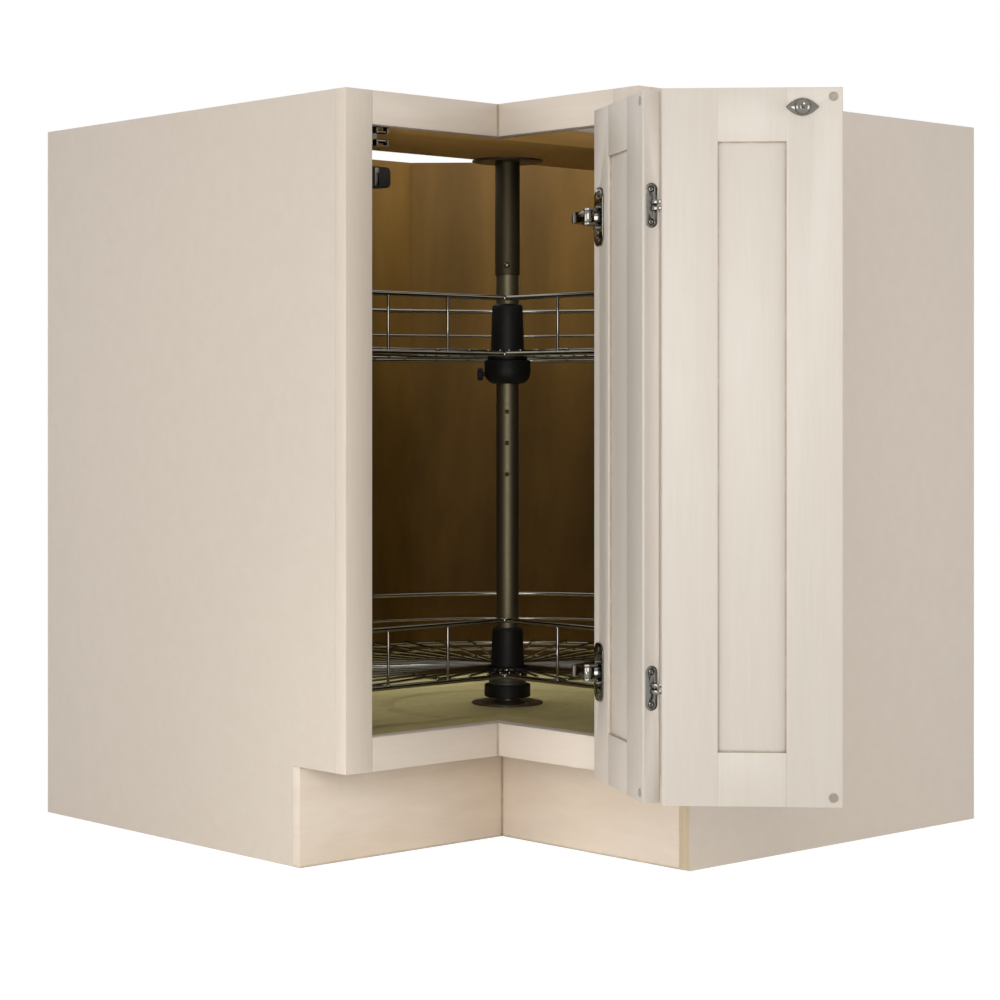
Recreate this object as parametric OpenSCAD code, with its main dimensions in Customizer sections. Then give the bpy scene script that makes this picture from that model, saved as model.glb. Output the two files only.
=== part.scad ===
// Corner carousel base cabinet: an L-shaped box with a clipped rear corner, a pair of folding
// pie-cut door leaves and two wire shelves that turn on a telescoping post.
// The room corner at floor level is the origin, and the cabinet lies in X > 0 and Y < 0.
// All sizes are in millimetres. The doors stand open, as they do when the shelves are in use.

/* [Cabinet box] */
// Width of the cabinet along each wall
cab_w = 838.2; // [780:1:900]
// Height from the floor to the worktop
cab_h = 876.3; // [820:1:920]
// Width of each of the two front faces
face_w = 228.6; // [205:1:260]
// Thickness of the face frame
face_t = 19.05; // [16:0.5:22]
// Width of the face frame's stiles
stile_w = 38.1; // [32:0.5:44]
// Width of the face frame's rails
rail_w = 38.1; // [32:0.5:44]
// Height of the toe recess
toe_h = 114.3; // [90:1:130]
// Depth of the toe recess
toe_d = 82.55; // [50:1:90]
// Leg of the clipped rear corner along each wall
corner_cut = 228.6; // [150:1:260]

/* [Sheet parts] */
// Thickness of the end panels
end_t = 15.9; // [12:0.5:19]
// Thickness of the back panels
back_t = 12.7; // [6:0.5:16]
// Thickness of the floor panel
deck_t = 15; // [12:0.5:19]
// Drop of the floor panel below the top of the bottom rails
deck_drop = 10; // [4:0.5:16]
// Thickness of the toe boards
toe_t = 12.7; // [9:0.5:19]
// Width of the brace that carries the post
brace_w = 200; // [195:1:240]
// Thickness of the brace
brace_t = 19.05; // [12:0.5:22]
// Section of the strip that stiffens the brace's front edge
strip_w = 19.05; // [12:0.5:30]
// Height of the nail rails
nailer_h = 88.9; // [60:1:110]
// Thickness of the nail rails
nailer_t = 15.9; // [12:0.5:22]
// Length of the nail rails
nailer_len = 380; // [250:5:420]
// Width of the floor panel's cleats
cleat_w = 25; // [18:1:35]
// Height of the floor panel's cleats
cleat_h = 30; // [20:1:40]
// Leg of the triangular corner blocks
block_leg = 70; // [50:1:90]
// Thickness of the corner blocks
block_t = 19.05; // [12:0.5:22]
// Radius of the worktop screw hole in each corner block
block_hole_r = 3; // [2:0.25:4]

/* [Door leaves] */
// Thickness of the leaves
leaf_t = 19.05; // [17:0.5:22]
// Overlap of the right leaf on its stile
stile_overlay = 15.5; // [10:0.5:19]
// Overlap of the leaves on the top rails
top_overlay = 9.1; // [8:0.1:20]
// Overlap of the leaves on the bottom rails
bottom_overlay = 37.5; // [8:0.5:38]
// Width of the leaves' stiles
member_w = 57.15; // [50:0.5:65]
// Width of the leaves' rails
leaf_rail_w = 54.9; // [48:0.5:65]
// Thickness of the flat panels
panel_t = 6.35; // [5:0.25:8]
// Recess of the flat panels on the back of the leaves
back_recess = 3.2; // [2:0.2:5]
// Depth of the grooves that hold the panels
groove_d = 9.5; // [6:0.5:12]
// Gap between the closed leaves and the face frame, filled by the bumpers
door_gap = 2; // [1.9:0.1:3]
// Distance from the fold line to each leaf's edge
fold_gap = 0.8; // [0.5:0.1:1.5]
// Angle by which the doors stand open
door_open = 151; // [0:1:165]
// Angle by which the fold has opened past a right angle
fold_open = 17; // [0:1:20]
// Radius of the bumpers
bumper_r = 4.7; // [3:0.1:6]
// Height of the bumpers
bumper_h = 1.7; // [1:0.1:1.8]
// Distance of the bumpers from the leaves' edges
bumper_inset = 9.5; // [8:0.5:14]

/* [Door hinges] */
// Distance of each hinge from the leaf's end
hinge_inset = 118; // [90:1:160]
// Distance of the hinge cup's centre from the leaf's edge
cup_inset = 22; // [20.5:0.5:26]
// Radius of the hinge cup
cup_r = 17.5; // [15:0.5:18]
// Depth of the hinge cup
cup_d = 11.5; // [9:0.5:13]
// Width of the cup's flange
flange_w = 33; // [28:1:34]
// Length of the cup's flange
flange_len = 63.5; // [58:0.5:70]
// Thickness of the cup's flange
flange_t = 1.4; // [1:0.1:1.6]
// Distance from the leaf's edge to the pin of the cup's fork
fork_inset = 26; // [25:0.5:29]
// Height of the fork's pin above the leaf
fork_h = 14; // [12:0.5:16]
// Radius of the hinge's pins
pin_r = 2.5; // [2:0.25:3]
// Radius of the eyes round the pins
eye_r = 5; // [4.5:0.25:5.25]
// Half height of the outer link and of the bracket's eye
link_half_h = 6; // [5:0.5:8]
// Thickness of the inner link's plates and of the fork's ears
plate_t = 3; // [2:0.25:4]
// Length of the outer link's first arm
knee_len = 26; // [24:0.5:27]
// Distance of the bracket's pin from the stile's inner edge
bracket_reach = 30.1; // [28:0.1:32]
// Distance of the bracket's pin behind the face frame
bracket_back = 20.55; // [19:0.05:22]
// Thickness of the bracket's plate on the stile
bracket_t = 4; // [2.5:0.25:4.5]

/* [Fold hinges] */
// Length of the mortised hinge bodies
barrel_len = 46; // [40:1:52]
// Width of the mortised hinge bodies
barrel_w = 12.4; // [10:0.2:13]
// Depth of the mortised hinge bodies
barrel_d = 16; // [14:0.5:20]
// Radius at which the curved links run about the fold line
arc_r = 9.5; // [8.5:0.1:10.5]
// Thickness of the curved links
arc_t = 2.4; // [1.6:0.1:3]
// Height of each curved link
arc_h = 3.6; // [3:0.2:5]

/* [Carousel] */
// Distance of the post behind both front faces
post_back = 197.6; // [185:0.1:205]
// Outer radius of the lower tube
lower_tube_r = 14.3; // [13:0.1:15]
// Wall of the tubes
tube_wall = 1.5; // [1.2:0.1:1.8]
// Reach of the upper tube below the brace
upper_tube_reach = 147.2; // [130:0.1:160]
// Radius of the shelves
shelf_r = 355.6; // [330:1:370]
// Distance of the notch's edges from the post's axis
notch_d = 58; // [50:1:90]
// Height of the upper shelf's floor above the lower one's
shelf_pitch = 402; // [340:1:430]
// Height of the lower shelf's floor above the floor panel
lower_lift = 43.6; // [36:0.1:80]
// Height of the rim above the shelf's floor
rim_h = 70; // [50:1:90]
// Height of the rim's middle rail above the floor
mid_h = 35; // [20:1:40]
// Radius of the rim's wire
rim_wire_r = 3; // [2.5:0.1:3.5]
// Radius of the rings' wire
ring_wire_r = 2; // [1.7:0.1:2.4]
// Number of lengths that each loop and ring is bent in
ring_lengths = 6; // [4:1:8]
// Radius of the uprights' wire
upright_r = 1.7; // [1.4:0.1:2]
// Radius of the floor's spokes
spoke_r = 1.5; // [1:0.1:1.6]
// Angle between neighbouring spokes
spoke_step = 7.5; // [5:0.5:15]
// Number of uprights round the rim, each midway between two spokes
rim_uprights = 9; // [5:1:14]
// Distance between the uprights on the notch's legs
leg_upright_step = 95; // [90:1:96]
// Height of the upper hub above the floor
upper_hub_h = 66; // [50:1:80]
// Height of the lower hub above the floor
lower_hub_h = 54; // [45:1:80]
// Radius of the hubs at the floor
hub_r = 21.5; // [20:0.5:24]
// Radius of the base plate and the top plate
plate_r = 45.5; // [40:0.5:50]
// Thickness of the base plate and the top plate
plate_h = 3; // [2:0.25:4]
// Radius of the clamp collars
collar_r = 29.5; // [26:0.5:32]

/* [Catches] */
// Distance of the strike from the left leaf's free edge
strike_inset = 41; // [36:0.5:48]
// Distance of the strike below the leaf's top
strike_drop = 20; // [18:0.5:26]
// Radius of the catch's rollers
roller_r = 2.5; // [2.2:0.1:2.6]
// Gap between the catch's rollers
roller_gap = 5.2; // [5.1:0.1:6]
// Distance of the magnet's centre below the top rails
magnet_drop = 58; // [45:1:80]

/* [Clearances] */
// Radial clearance of a pin or a post in its bore
run_gap = 0.08; // [0.05:0.01:0.1]
// Gap between faces that slide past each other
side_gap = 0.3; // [0.2:0.05:0.5]
// Gap between wires where they are welded
weld_gap = 0.1; // [0.05:0.05:0.3]
// Gap between a piece and its seat
seat_gap = 0.2; // [0.1:0.05:0.3]

/* [Hidden] */
$fn = 48;

end_d = cab_w - face_w;                 // depth of the end panels, to the face frame's front
frame_in = end_d - face_t;              // back plane of the face frame
opening_z0 = toe_h + rail_w;
opening_z1 = cab_h - rail_w;
deck_z1 = opening_z0 - deck_drop;
deck_z0 = deck_z1 - deck_t;
brace_z0 = opening_z1;
brace_back = frame_in - brace_w;
recess_x = end_d - toe_d;               // front plane of the toe boards
mitre = back_t * (sqrt(2) - 1);         // shift of the back panels' mitred inner corners
stile_in = cab_w - stile_w;             // inner edge of each stile

// Leaves, closed: the fold line stands at (fold_x, -fold_x)
fold_x = end_d + door_gap + leaf_t;
leaf_w = stile_in + stile_overlay - fold_x - fold_gap;
leaf_z0 = opening_z0 - bottom_overlay;
leaf_z1 = opening_z1 + top_overlay;
leaf_h = leaf_z1 - leaf_z0;
hinge_zs = [leaf_z0 + hinge_inset, leaf_z1 - hinge_inset];

// Door hinges work as parallelograms: door axis, fork pin, elbow pin, bracket pin
axis_shift = [1.2, -0.5];               // door axis from the right leaf's outer front edge
door_axis = [fold_x + fold_gap + leaf_w, -fold_x] + axis_shift;
fork_shut = [fold_x + fold_gap + leaf_w - fork_inset, -fold_x + leaf_t + fork_h];
bracket_pin = [stile_in - bracket_reach, -frame_in + bracket_back];
link_v = bracket_pin - door_axis;       // from the fork pin to the elbow pin, always
knee_v = knee_len * [cos(165), sin(165)];
fork_now = turned(fork_shut, door_axis, door_open);
elbow_now = fork_now + link_v;
fold_now = turned([fold_x, -fold_x], door_axis, door_open);
ear_z0 = link_half_h + side_gap;
ear_z1 = ear_z0 + plate_t;

// Carousel
post = [end_d - post_back, post_back - end_d];
lower_z = deck_z1 + lower_lift;
upper_z = lower_z + shelf_pitch;
post_z0 = deck_z1 + plate_h;
pedestal_h = 6;
collar_h = 16;
upper_collar_h = 30;
hub_drop = 6;                           // depth of each hub's flange below the shelf's floor
upper_tube_r = lower_tube_r + run_gap + tube_wall;
spoke_z = rim_wire_r + spoke_r + weld_gap;
ring_z = spoke_z - spoke_r - ring_wire_r - weld_gap;
knob_z = upper_z - hub_drop - upper_collar_h * 0.6;
top_z = brace_z0;                       // underside of the brace
upper_tube_z = top_z - upper_tube_reach;
lock_z = upper_tube_z + 12;
notch_end = asin(notch_d / shelf_r);    // angle of the notch's ends past the face directions
arc_from = -notch_end;
arc_sweep = 270 + 2 * notch_end;
spider_r = 24;

// Catch for the strike, hung from the brace
strike_z = leaf_z1 - strike_drop;
strike_y = -(fold_x + fold_gap + leaf_w - strike_inset);
roller_x = end_d + door_gap - 18;       // rollers' axes, behind the closed leaf
roller_off = roller_gap / 2 + roller_r;
roller_len = 12;

// A plan point p turned by a degrees about c
function turned(p, c, a) =
    c + [(p[0] - c[0]) * cos(a) - (p[1] - c[1]) * sin(a),
         (p[0] - c[0]) * sin(a) + (p[1] - c[1]) * cos(a)];

// A box from its lowest to its highest corner
module slab(lo, hi) {
    translate(lo) cube(hi - lo);
}

// Turns its children by a degrees about the upright line at plan point c
module spun(c, a) {
    translate([c[0], c[1], 0]) rotate([0, 0, a]) translate([-c[0], -c[1], 0]) children();
}

// Places children, drawn for the closed doors, on the right leaf
module on_right_leaf() {
    spun(door_axis, door_open) children();
}

// Places children, drawn for the closed doors on the right face, on the left leaf
module on_left_leaf() {
    spun(door_axis, door_open) spun([fold_x, -fold_x], -fold_open) mirror([1, 1, 0]) children();
}

// Swaps the left and right sides of the closed cabinet
module other_side() {
    mirror([1, 1, 0]) children();
}

// ---- Box ----

// End panel with its toe notch, drawn as the right one; the notch is deepened by cover
module end_panel(cover) {
    difference() {
        slab([cab_w - end_t, -frame_in, 0], [cab_w, 0, cab_h]);
        slab([cab_w - end_t - 1, -frame_in - 1, -1], [cab_w + 1, -recess_x + cover, toe_h]);
    }
}

module left_end_panel() {
    color([0.83, 0.77, 0.69]) other_side() end_panel(toe_t);
}

module right_end_panel() {
    color([0.83, 0.77, 0.69]) end_panel(0);
}

module back_sheet(points) {
    linear_extrude(cab_h) polygon(points);
}

module right_back_panel() {
    color([0.72, 0.56, 0.36]) back_sheet([
        [corner_cut, 0], [corner_cut + mitre, -back_t],
        [cab_w - end_t, -back_t], [cab_w - end_t, 0]
    ]);
}

module left_back_panel() {
    color([0.72, 0.56, 0.36]) back_sheet([
        [0, -corner_cut], [0, -cab_w + end_t],
        [back_t, -cab_w + end_t], [back_t, -corner_cut - mitre]
    ]);
}

module diagonal_back_panel() {
    color([0.72, 0.56, 0.36]) back_sheet([
        [0, -corner_cut], [back_t, -corner_cut - mitre],
        [corner_cut + mitre, -back_t], [corner_cut, 0]
    ]);
}

// Floor panel: the cabinet's inside outline with the front notch and the clipped corner
module floor_panel() {
    far = cab_w - end_t;
    color([0.66, 0.52, 0.34]) translate([0, 0, deck_z0]) linear_extrude(deck_t) polygon([
        [back_t, -far], [frame_in, -far], [frame_in, -frame_in], [far, -frame_in],
        [far, -back_t], [corner_cut + mitre, -back_t], [back_t, -corner_cut - mitre]
    ]);
}

// Cleats under the floor panel, along the back panels and the end panels
module floor_cleats() {
    far = cab_w - end_t;
    run = recess_x - toe_t;
    color([0.74, 0.60, 0.42]) {
        slab([corner_cut + 60, -back_t - cleat_w, deck_z0 - cleat_h], [far, -back_t, deck_z0]);
        slab([far - cleat_w, -run, deck_z0 - cleat_h], [far, -back_t - cleat_w - 1, deck_z0]);
        other_side() {
            slab([corner_cut + 60, -back_t - cleat_w, deck_z0 - cleat_h], [far, -back_t, deck_z0]);
            slab([far - cleat_w, -run, deck_z0 - cleat_h], [far, -back_t - cleat_w - 1, deck_z0]);
        }
    }
}

// The left toe board laps the end panel's edge, the right one stops against its panel
module left_toe_board() {
    color([0.83, 0.77, 0.69])
        slab([recess_x - toe_t, -cab_w, 0], [recess_x, -recess_x + toe_t, toe_h]);
}

module right_toe_board() {
    color([0.83, 0.77, 0.69])
        slab([recess_x, -recess_x, 0], [cab_w - end_t, -recess_x + toe_t, toe_h]);
}

// ---- Face frame ----

module stile() {
    slab([stile_in, -end_d, toe_h], [cab_w, -frame_in, cab_h]);
}

module left_stile() {
    color([0.86, 0.80, 0.72]) other_side() stile();
}

module right_stile() {
    color([0.86, 0.80, 0.72]) stile();
}

// Rails: the right ones run on into the inner corner
module face_rail(z, reach) {
    slab([reach, -end_d, z], [stile_in, -frame_in, z + rail_w]);
}

module left_top_rail() {
    color([0.86, 0.80, 0.72]) other_side() face_rail(opening_z1, end_d);
}

module right_top_rail() {
    color([0.86, 0.80, 0.72]) face_rail(opening_z1, frame_in);
}

module left_bottom_rail() {
    color([0.86, 0.80, 0.72]) other_side() face_rail(toe_h, end_d);
}

module right_bottom_rail() {
    color([0.86, 0.80, 0.72]) face_rail(toe_h, frame_in);
}

// ---- Top structure ----

module top_brace() {
    color([0.50, 0.38, 0.22])
        slab([brace_back, -cab_w + end_t, brace_z0], [frame_in, -back_t, brace_z0 + brace_t]);
}

module top_brace_strip() {
    color([0.78, 0.74, 0.66])
        slab([frame_in - strip_w, -cab_w + end_t, brace_z0 + brace_t],
             [frame_in, -back_t - nailer_t, cab_h]);
}

// Nail rails at the top of the back panels, beside the end panels
module nail_rail() {
    far = cab_w - end_t;
    slab([far - nailer_len, -back_t - nailer_t, cab_h - nailer_h], [far, -back_t, cab_h]);
}

module nail_rails() {
    color([0.74, 0.60, 0.42]) {
        difference() {
            nail_rail();
            slab([brace_back, -cab_w, brace_z0], [frame_in, 0, brace_z0 + brace_t]);
        }
        other_side() nail_rail();
    }
}

// Triangular block in a corner at plan point p, its legs along sx and sy
module corner_block(p, sx, sy) {
    translate([p[0], p[1], cab_h - block_t]) difference() {
        linear_extrude(block_t) polygon([[0, 0], [sx * block_leg, 0], [0, sy * block_leg]]);
        translate([sx * block_leg / 3, sy * block_leg / 3, -1]) cylinder(r = block_hole_r, h = block_t + 2);
    }
}

module corner_blocks() {
    far = cab_w - end_t;
    color([0.74, 0.60, 0.42]) {
        corner_block([far, -frame_in], -1, 1);
        corner_block([far, -back_t - nailer_t], -1, -1);
        other_side() corner_block([far, -back_t - nailer_t], -1, -1);
    }
}

// ---- Post ----

module at_post(z) {
    translate([post[0], post[1], z]) children();
}

// Places a screw or its hole at each of the plate's three fixing points
module plate_points() {
    for (a = [0, 120, 240]) rotate([0, 0, a]) translate([plate_r - 10, 0, 0]) children();
}

module post_base_plate() {
    color([0.45, 0.40, 0.36]) at_post(deck_z1) difference() {
        union() {
            cylinder(r = plate_r, h = plate_h);
            cylinder(r = lower_tube_r + 1, h = plate_h + pedestal_h);
        }
        plate_points() translate([0, 0, -1]) cylinder(r = 2.05, h = plate_h + 2);
        translate([0, 0, -1]) cylinder(r = lower_tube_r - tube_wall - 0.5, h = pedestal_h + plate_h + 2);
    }
}

// The lower tube stands on the pedestal and has a row of holes for the clamp collar
module post_lower_tube() {
    z0 = post_z0 + pedestal_h;
    z1 = upper_tube_z + 90;
    color([0.72, 0.72, 0.74]) difference() {
        at_post(z0) cylinder(r = lower_tube_r, h = z1 - z0);
        at_post(z0 - 1) cylinder(r = lower_tube_r - tube_wall, h = z1 - z0 + 2);
        for (k = [0 : 2]) at_post(knob_z - 48 - 40 * k) rotate([0, 0, -45]) rotate([0, 90, 0])
            cylinder(r = 3, h = lower_tube_r + 5);
    }
}

// The upper tube slides over the lower one and ends against the top plate
module post_upper_tube() {
    z1 = top_z - plate_h;
    color([0.68, 0.68, 0.70]) difference() {
        at_post(upper_tube_z) cylinder(r = upper_tube_r, h = z1 - upper_tube_z);
        at_post(upper_tube_z - 1) cylinder(r = lower_tube_r + run_gap, h = z1 - upper_tube_z + 2);
        at_post(lock_z) rotate([0, 0, -45]) rotate([0, 90, 0]) cylinder(r = 2.05, h = upper_tube_r + 5);
    }
}

module post_lock_screw() {
    color([0.25, 0.23, 0.21]) at_post(lock_z) rotate([0, 0, -45]) rotate([0, 90, 0]) {
        translate([0, 0, lower_tube_r]) cylinder(r = 2, h = 5);
        translate([0, 0, upper_tube_r + seat_gap]) cylinder(r = 3.6, h = 3);
    }
}

module post_top_plate() {
    color([0.35, 0.30, 0.26]) at_post(top_z - plate_h) difference() {
        cylinder(r = plate_r, h = plate_h);
        plate_points() translate([0, 0, -1]) cylinder(r = 2.05, h = plate_h + 2);
    }
}

// Pan-head screw: its head stands on z = 0, its shank of the given length runs down
module screw(r, len, head = 1.6) {
    cylinder(r = 2 * r, h = head);
    translate([0, 0, -len]) cylinder(r = r, h = len + 0.5);
}

module post_screws() {
    color([0.25, 0.23, 0.21]) {
        at_post(deck_z1 + plate_h) plate_points() screw(2, plate_h);
        at_post(top_z - plate_h) plate_points() mirror([0, 0, 1]) screw(2, plate_h);
    }
}

// Collar clamped on the lower tube: a bowl below, flat on top, with a hole for its knob
module upper_clamp_collar() {
    h = upper_collar_h;
    r = collar_r;
    color([0.12, 0.12, 0.13]) at_post(upper_z - hub_drop - h) difference() {
        rotate_extrude() polygon([
            [0, 0], [r * 0.66, 0], [r * 0.90, h * 0.16], [r, h * 0.34], [r, h], [0, h]
        ]);
        translate([0, 0, -1]) cylinder(r = lower_tube_r + run_gap, h = h + 2);
        translate([0, 0, knob_z - upper_z + hub_drop + h]) rotate([0, 0, 225]) rotate([0, 90, 0])
            cylinder(r = 3.05, h = r + 5);
    }
}

// Thumb knob of the upper collar, on its left as seen from the front
module upper_collar_knob() {
    color([0.10, 0.10, 0.11]) at_post(knob_z) rotate([0, 0, 225]) rotate([0, 90, 0]) {
        translate([0, 0, lower_tube_r]) cylinder(r = 3, h = collar_r - lower_tube_r + 4);
        translate([0, 0, collar_r + seat_gap + 2]) cylinder(r = 8, h = 7);
    }
}

module lower_clamp_collar() {
    color([0.12, 0.12, 0.13]) at_post(post_z0 + pedestal_h) difference() {
        cylinder(r = collar_r, h = collar_h);
        translate([0, 0, -1]) cylinder(r = lower_tube_r + run_gap, h = collar_h + 2);
    }
}

module lower_thrust_ring() {
    z0 = post_z0 + pedestal_h + collar_h;
    color([0.45, 0.45, 0.47]) at_post(z0) difference() {
        cylinder(r = collar_r - 4, h = lower_z - hub_drop - z0);
        translate([0, 0, -1]) cylinder(r = lower_tube_r + run_gap, h = lower_z - hub_drop - z0 + 2);
    }
}

// ---- Wire shelves, drawn about the post's axis with the floor at z = 0 ----

// Wire of radius r bent to an arc about the axis
module arc_wire(big_r, r, from, sweep) {
    rotate([0, 0, from]) rotate_extrude(angle = sweep, $fn = 96)
        translate([big_r, 0]) circle(r = r, $fn = 16);
}

// Open ring or loop, bent in equal lengths with their ends butt-welded
module bent_wire(big_r, r, from, sweep) {
    joint = weld_gap / (big_r - r) * 180 / PI;
    step = (sweep + joint) / ring_lengths;
    for (i = [0 : ring_lengths - 1])
        arc_wire(big_r, r, from + i * step, step - joint);
}

// Straight level wire between two points
module flat_wire(a, b, r) {
    run = b - a;
    translate(a) rotate([0, 0, atan2(run[1], run[0])]) rotate([0, 90, 0])
        cylinder(r = r, h = norm(run), $fn = 16);
}

notch_run = sqrt(shelf_r * shelf_r - notch_d * notch_d);

// Closed loop of wire round the shelf and its notch, butt-welded from its bent lengths and two legs
module loop_wire(z) {
    stop = asin((notch_d - rim_wire_r * 1.2 - weld_gap) / shelf_r);
    corner = notch_d + rim_wire_r + weld_gap;
    translate([0, 0, z]) {
        bent_wire(shelf_r, rim_wire_r, -stop, 270 + 2 * stop);
        flat_wire([notch_d, -corner, 0], [notch_d, -notch_run - rim_wire_r, 0], rim_wire_r);
        flat_wire([notch_d - rim_wire_r, -notch_d, 0], [notch_run + rim_wire_r, -notch_d, 0], rim_wire_r);
    }
}

module upright_at(p) {
    translate([p[0], p[1], rim_wire_r + weld_gap])
        cylinder(r = upright_r, h = rim_h - 2 * (rim_wire_r + weld_gap), $fn = 16);
}

// How far a spoke at angle a reaches before it meets the edge wire
function spoke_reach(a) =
    a > -90 + notch_end && a < -45 ? notch_d / cos(a) :
    a >= -45 && a < -notch_end ? -notch_d / sin(a) : shelf_r;

// A ring stops short of the notch's wires
function ring_stop(r) = asin((notch_d - rim_wire_r - ring_wire_r - weld_gap) / r);
function ring_from(r) = -ring_stop(r);
function ring_sweep(r) = 270 + 2 * ring_stop(r);

// Rim: two closed loops, a middle rail round the back and uprights, welded where they meet
module shelf_rim() {
    mid_r = shelf_r - upright_r - ring_wire_r - weld_gap;
    loop_wire(0);
    loop_wire(rim_h);
    translate([0, 0, mid_h]) bent_wire(mid_r, ring_wire_r, ring_from(mid_r), ring_sweep(mid_r));
    for (i = [0 : rim_uprights - 1]) {
        near = arc_from + 2 + i * (arc_sweep - 4) / (rim_uprights - 1);
        a = -90 + spoke_step * round((near + 90) / spoke_step);
        upright_at(shelf_r * [cos(a), sin(a)]);
    }
    for (s = [notch_d + leg_upright_step : leg_upright_step : notch_run]) {
        upright_at([notch_d, -s]);
        upright_at([s, -notch_d]);
    }
}

// Floor: rings with spokes welded over them and over the rim's lower loop
module shelf_floor() {
    translate([0, 0, ring_z]) arc_wire(spider_r, ring_wire_r, 0, 360);
    for (r = [shelf_r * 0.42, shelf_r * 0.72])
        translate([0, 0, ring_z]) bent_wire(r, ring_wire_r, ring_from(r), ring_sweep(r));
    for (a = [-90 + spoke_step / 2 : spoke_step : 269]) {
        reach = spoke_reach(a);
        translate([spider_r * cos(a), spider_r * sin(a), spoke_z])
            rotate([0, 0, a]) rotate([0, 90, 0]) cylinder(r = spoke_r, h = reach - spider_r, $fn = 16);
    }
}

// Hub: a tapered barrel that turns on the lower tube, over a flange that carries the floor
module shelf_hub(h) {
    flange_z = ring_z - ring_wire_r;
    difference() {
        rotate_extrude() polygon([
            [0, -hub_drop], [hub_r + 4, -hub_drop], [hub_r + 4, flange_z], [hub_r - 0.2, flange_z],
            [hub_r - 0.2, 8], [hub_r - 2, h - 4], [hub_r - 5, h], [0, h]
        ]);
        translate([0, 0, -hub_drop - 1]) cylinder(r = lower_tube_r + run_gap, h = h + hub_drop + 2);
    }
}

module upper_shelf_frame() {
    color([0.80, 0.80, 0.82]) at_post(upper_z) {
        shelf_rim();
        shelf_floor();
    }
}

module lower_shelf_frame() {
    color([0.80, 0.80, 0.82]) at_post(lower_z) {
        shelf_rim();
        shelf_floor();
    }
}

module upper_shelf_hub() {
    color([0.10, 0.10, 0.11]) at_post(upper_z) shelf_hub(upper_hub_h);
}

module lower_shelf_hub() {
    color([0.10, 0.10, 0.11]) at_post(lower_z) shelf_hub(lower_hub_h);
}

// ---- Door leaves, drawn closed on the right face ----

leaf_x0 = fold_x + fold_gap;
leaf_x1 = leaf_x0 + leaf_w;
leaf_y0 = -fold_x;                      // front face
leaf_y1 = -fold_x + leaf_t;             // back face
groove_y0 = leaf_y1 - back_recess - panel_t;
groove_y1 = leaf_y1 - back_recess;
cup_x = leaf_x1 - cup_inset;
cup_screw_off = flange_len / 2 - 6.5;
barrel_y = leaf_y0 + arc_r;
barrel_r = barrel_w / 2;
fold_screw_off = barrel_len / 2 - barrel_r;
arc_offs = [-arc_h / 2 - 1.5, arc_h / 2 + 1.5];

// Stile from x0, grooved along the edge that faces the panel
module leaf_stile(x0, groove_at_right) {
    gx = groove_at_right ? x0 + member_w - groove_d : x0 - 1;
    difference() {
        slab([x0, leaf_y0, leaf_z0], [x0 + member_w, leaf_y1, leaf_z1]);
        slab([gx, groove_y0, leaf_z0 - 1], [gx + groove_d + 1, groove_y1, leaf_z1 + 1]);
    }
}

// Rail from z0 with a tongue at each end, grooved along the edge that faces the panel
module leaf_rail(z0, groove_at_top) {
    x0 = leaf_x0 + member_w;
    x1 = leaf_x1 - member_w;
    gz = groove_at_top ? z0 + leaf_rail_w - groove_d : z0 - 1;
    tz = groove_at_top ? z0 : z0 + groove_d;
    difference() {
        union() {
            slab([x0, leaf_y0, z0], [x1, leaf_y1, z0 + leaf_rail_w]);
            slab([x0 - groove_d, groove_y0, tz],
                 [x1 + groove_d, groove_y1, tz + leaf_rail_w - groove_d]);
        }
        slab([x0 - groove_d - 1, groove_y0, gz], [x1 + groove_d + 1, groove_y1, gz + groove_d + 1]);
    }
}

// Flat panel, its edges in the grooves of all four members
module leaf_panel() {
    in = member_w - groove_d;
    in_z = leaf_rail_w - groove_d;
    slab([leaf_x0 + in, groove_y0, leaf_z0 + in_z], [leaf_x1 - in, groove_y1, leaf_z1 - in_z]);
}

// Pill-shaped block in the leaf's fold edge, from the edge to a depth, grown by g
module fold_pill(z, depth, g) {
    for (s = [-1, 1]) translate([leaf_x0, barrel_y, z + s * fold_screw_off]) rotate([0, 90, 0])
        cylinder(r = barrel_r + g, h = depth);
    slab([leaf_x0, barrel_y - barrel_r - g, z - fold_screw_off],
         [leaf_x0 + depth, barrel_y + barrel_r + g, z + fold_screw_off]);
}

// Screw holes or screws of one fold hinge
module fold_screws(z) {
    for (s = [-1, 1]) translate([leaf_x0 + 1.6, barrel_y, z + s * fold_screw_off])
        rotate([0, -90, 0]) children();
}

module fold_mortises() {
    for (z = hinge_zs) {
        translate([-1, 0, 0]) fold_pill(z, 1.5, seat_gap);
        fold_pill(z, barrel_d, seat_gap);
        fold_screws(z) translate([0, 0, -30]) cylinder(r = 1.55, h = 30);
    }
}

// Arc about the fold line between two angles, for the links and for their pockets
module fold_arc(z, r, t, h, from, sweep) {
    translate([fold_x, -fold_x, z - h / 2]) rotate([0, 0, from]) rotate_extrude(angle = sweep, $fn = 96)
        translate([r - t / 2, 0]) square([t, h]);
}

module cup_bores() {
    for (z = hinge_zs) {
        translate([cup_x, leaf_y1 + 1, z]) rotate([90, 0, 0]) cylinder(r = cup_r + 0.1, h = cup_d + 1);
        cup_screw_points(z) translate([0, 0, -12]) cylinder(r = 1.8, h = 30);
    }
}

// Places children on the two screw seats of the hinge cup at height z, +Z pointing off the leaf
module cup_screw_points(z) {
    for (s = [-1, 1]) translate([cup_x, leaf_y1 + flange_t, z + s * cup_screw_off])
        rotate([-90, 0, 0]) children();
}

module right_leaf_hinge_stile() {
    color([0.87, 0.81, 0.73]) on_right_leaf() difference() {
        leaf_stile(leaf_x1 - member_w, false);
        cup_bores();
    }
}

module right_leaf_fold_stile() {
    color([0.87, 0.81, 0.73]) on_right_leaf() difference() {
        leaf_stile(leaf_x0, true);
        fold_mortises();
    }
}

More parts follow.
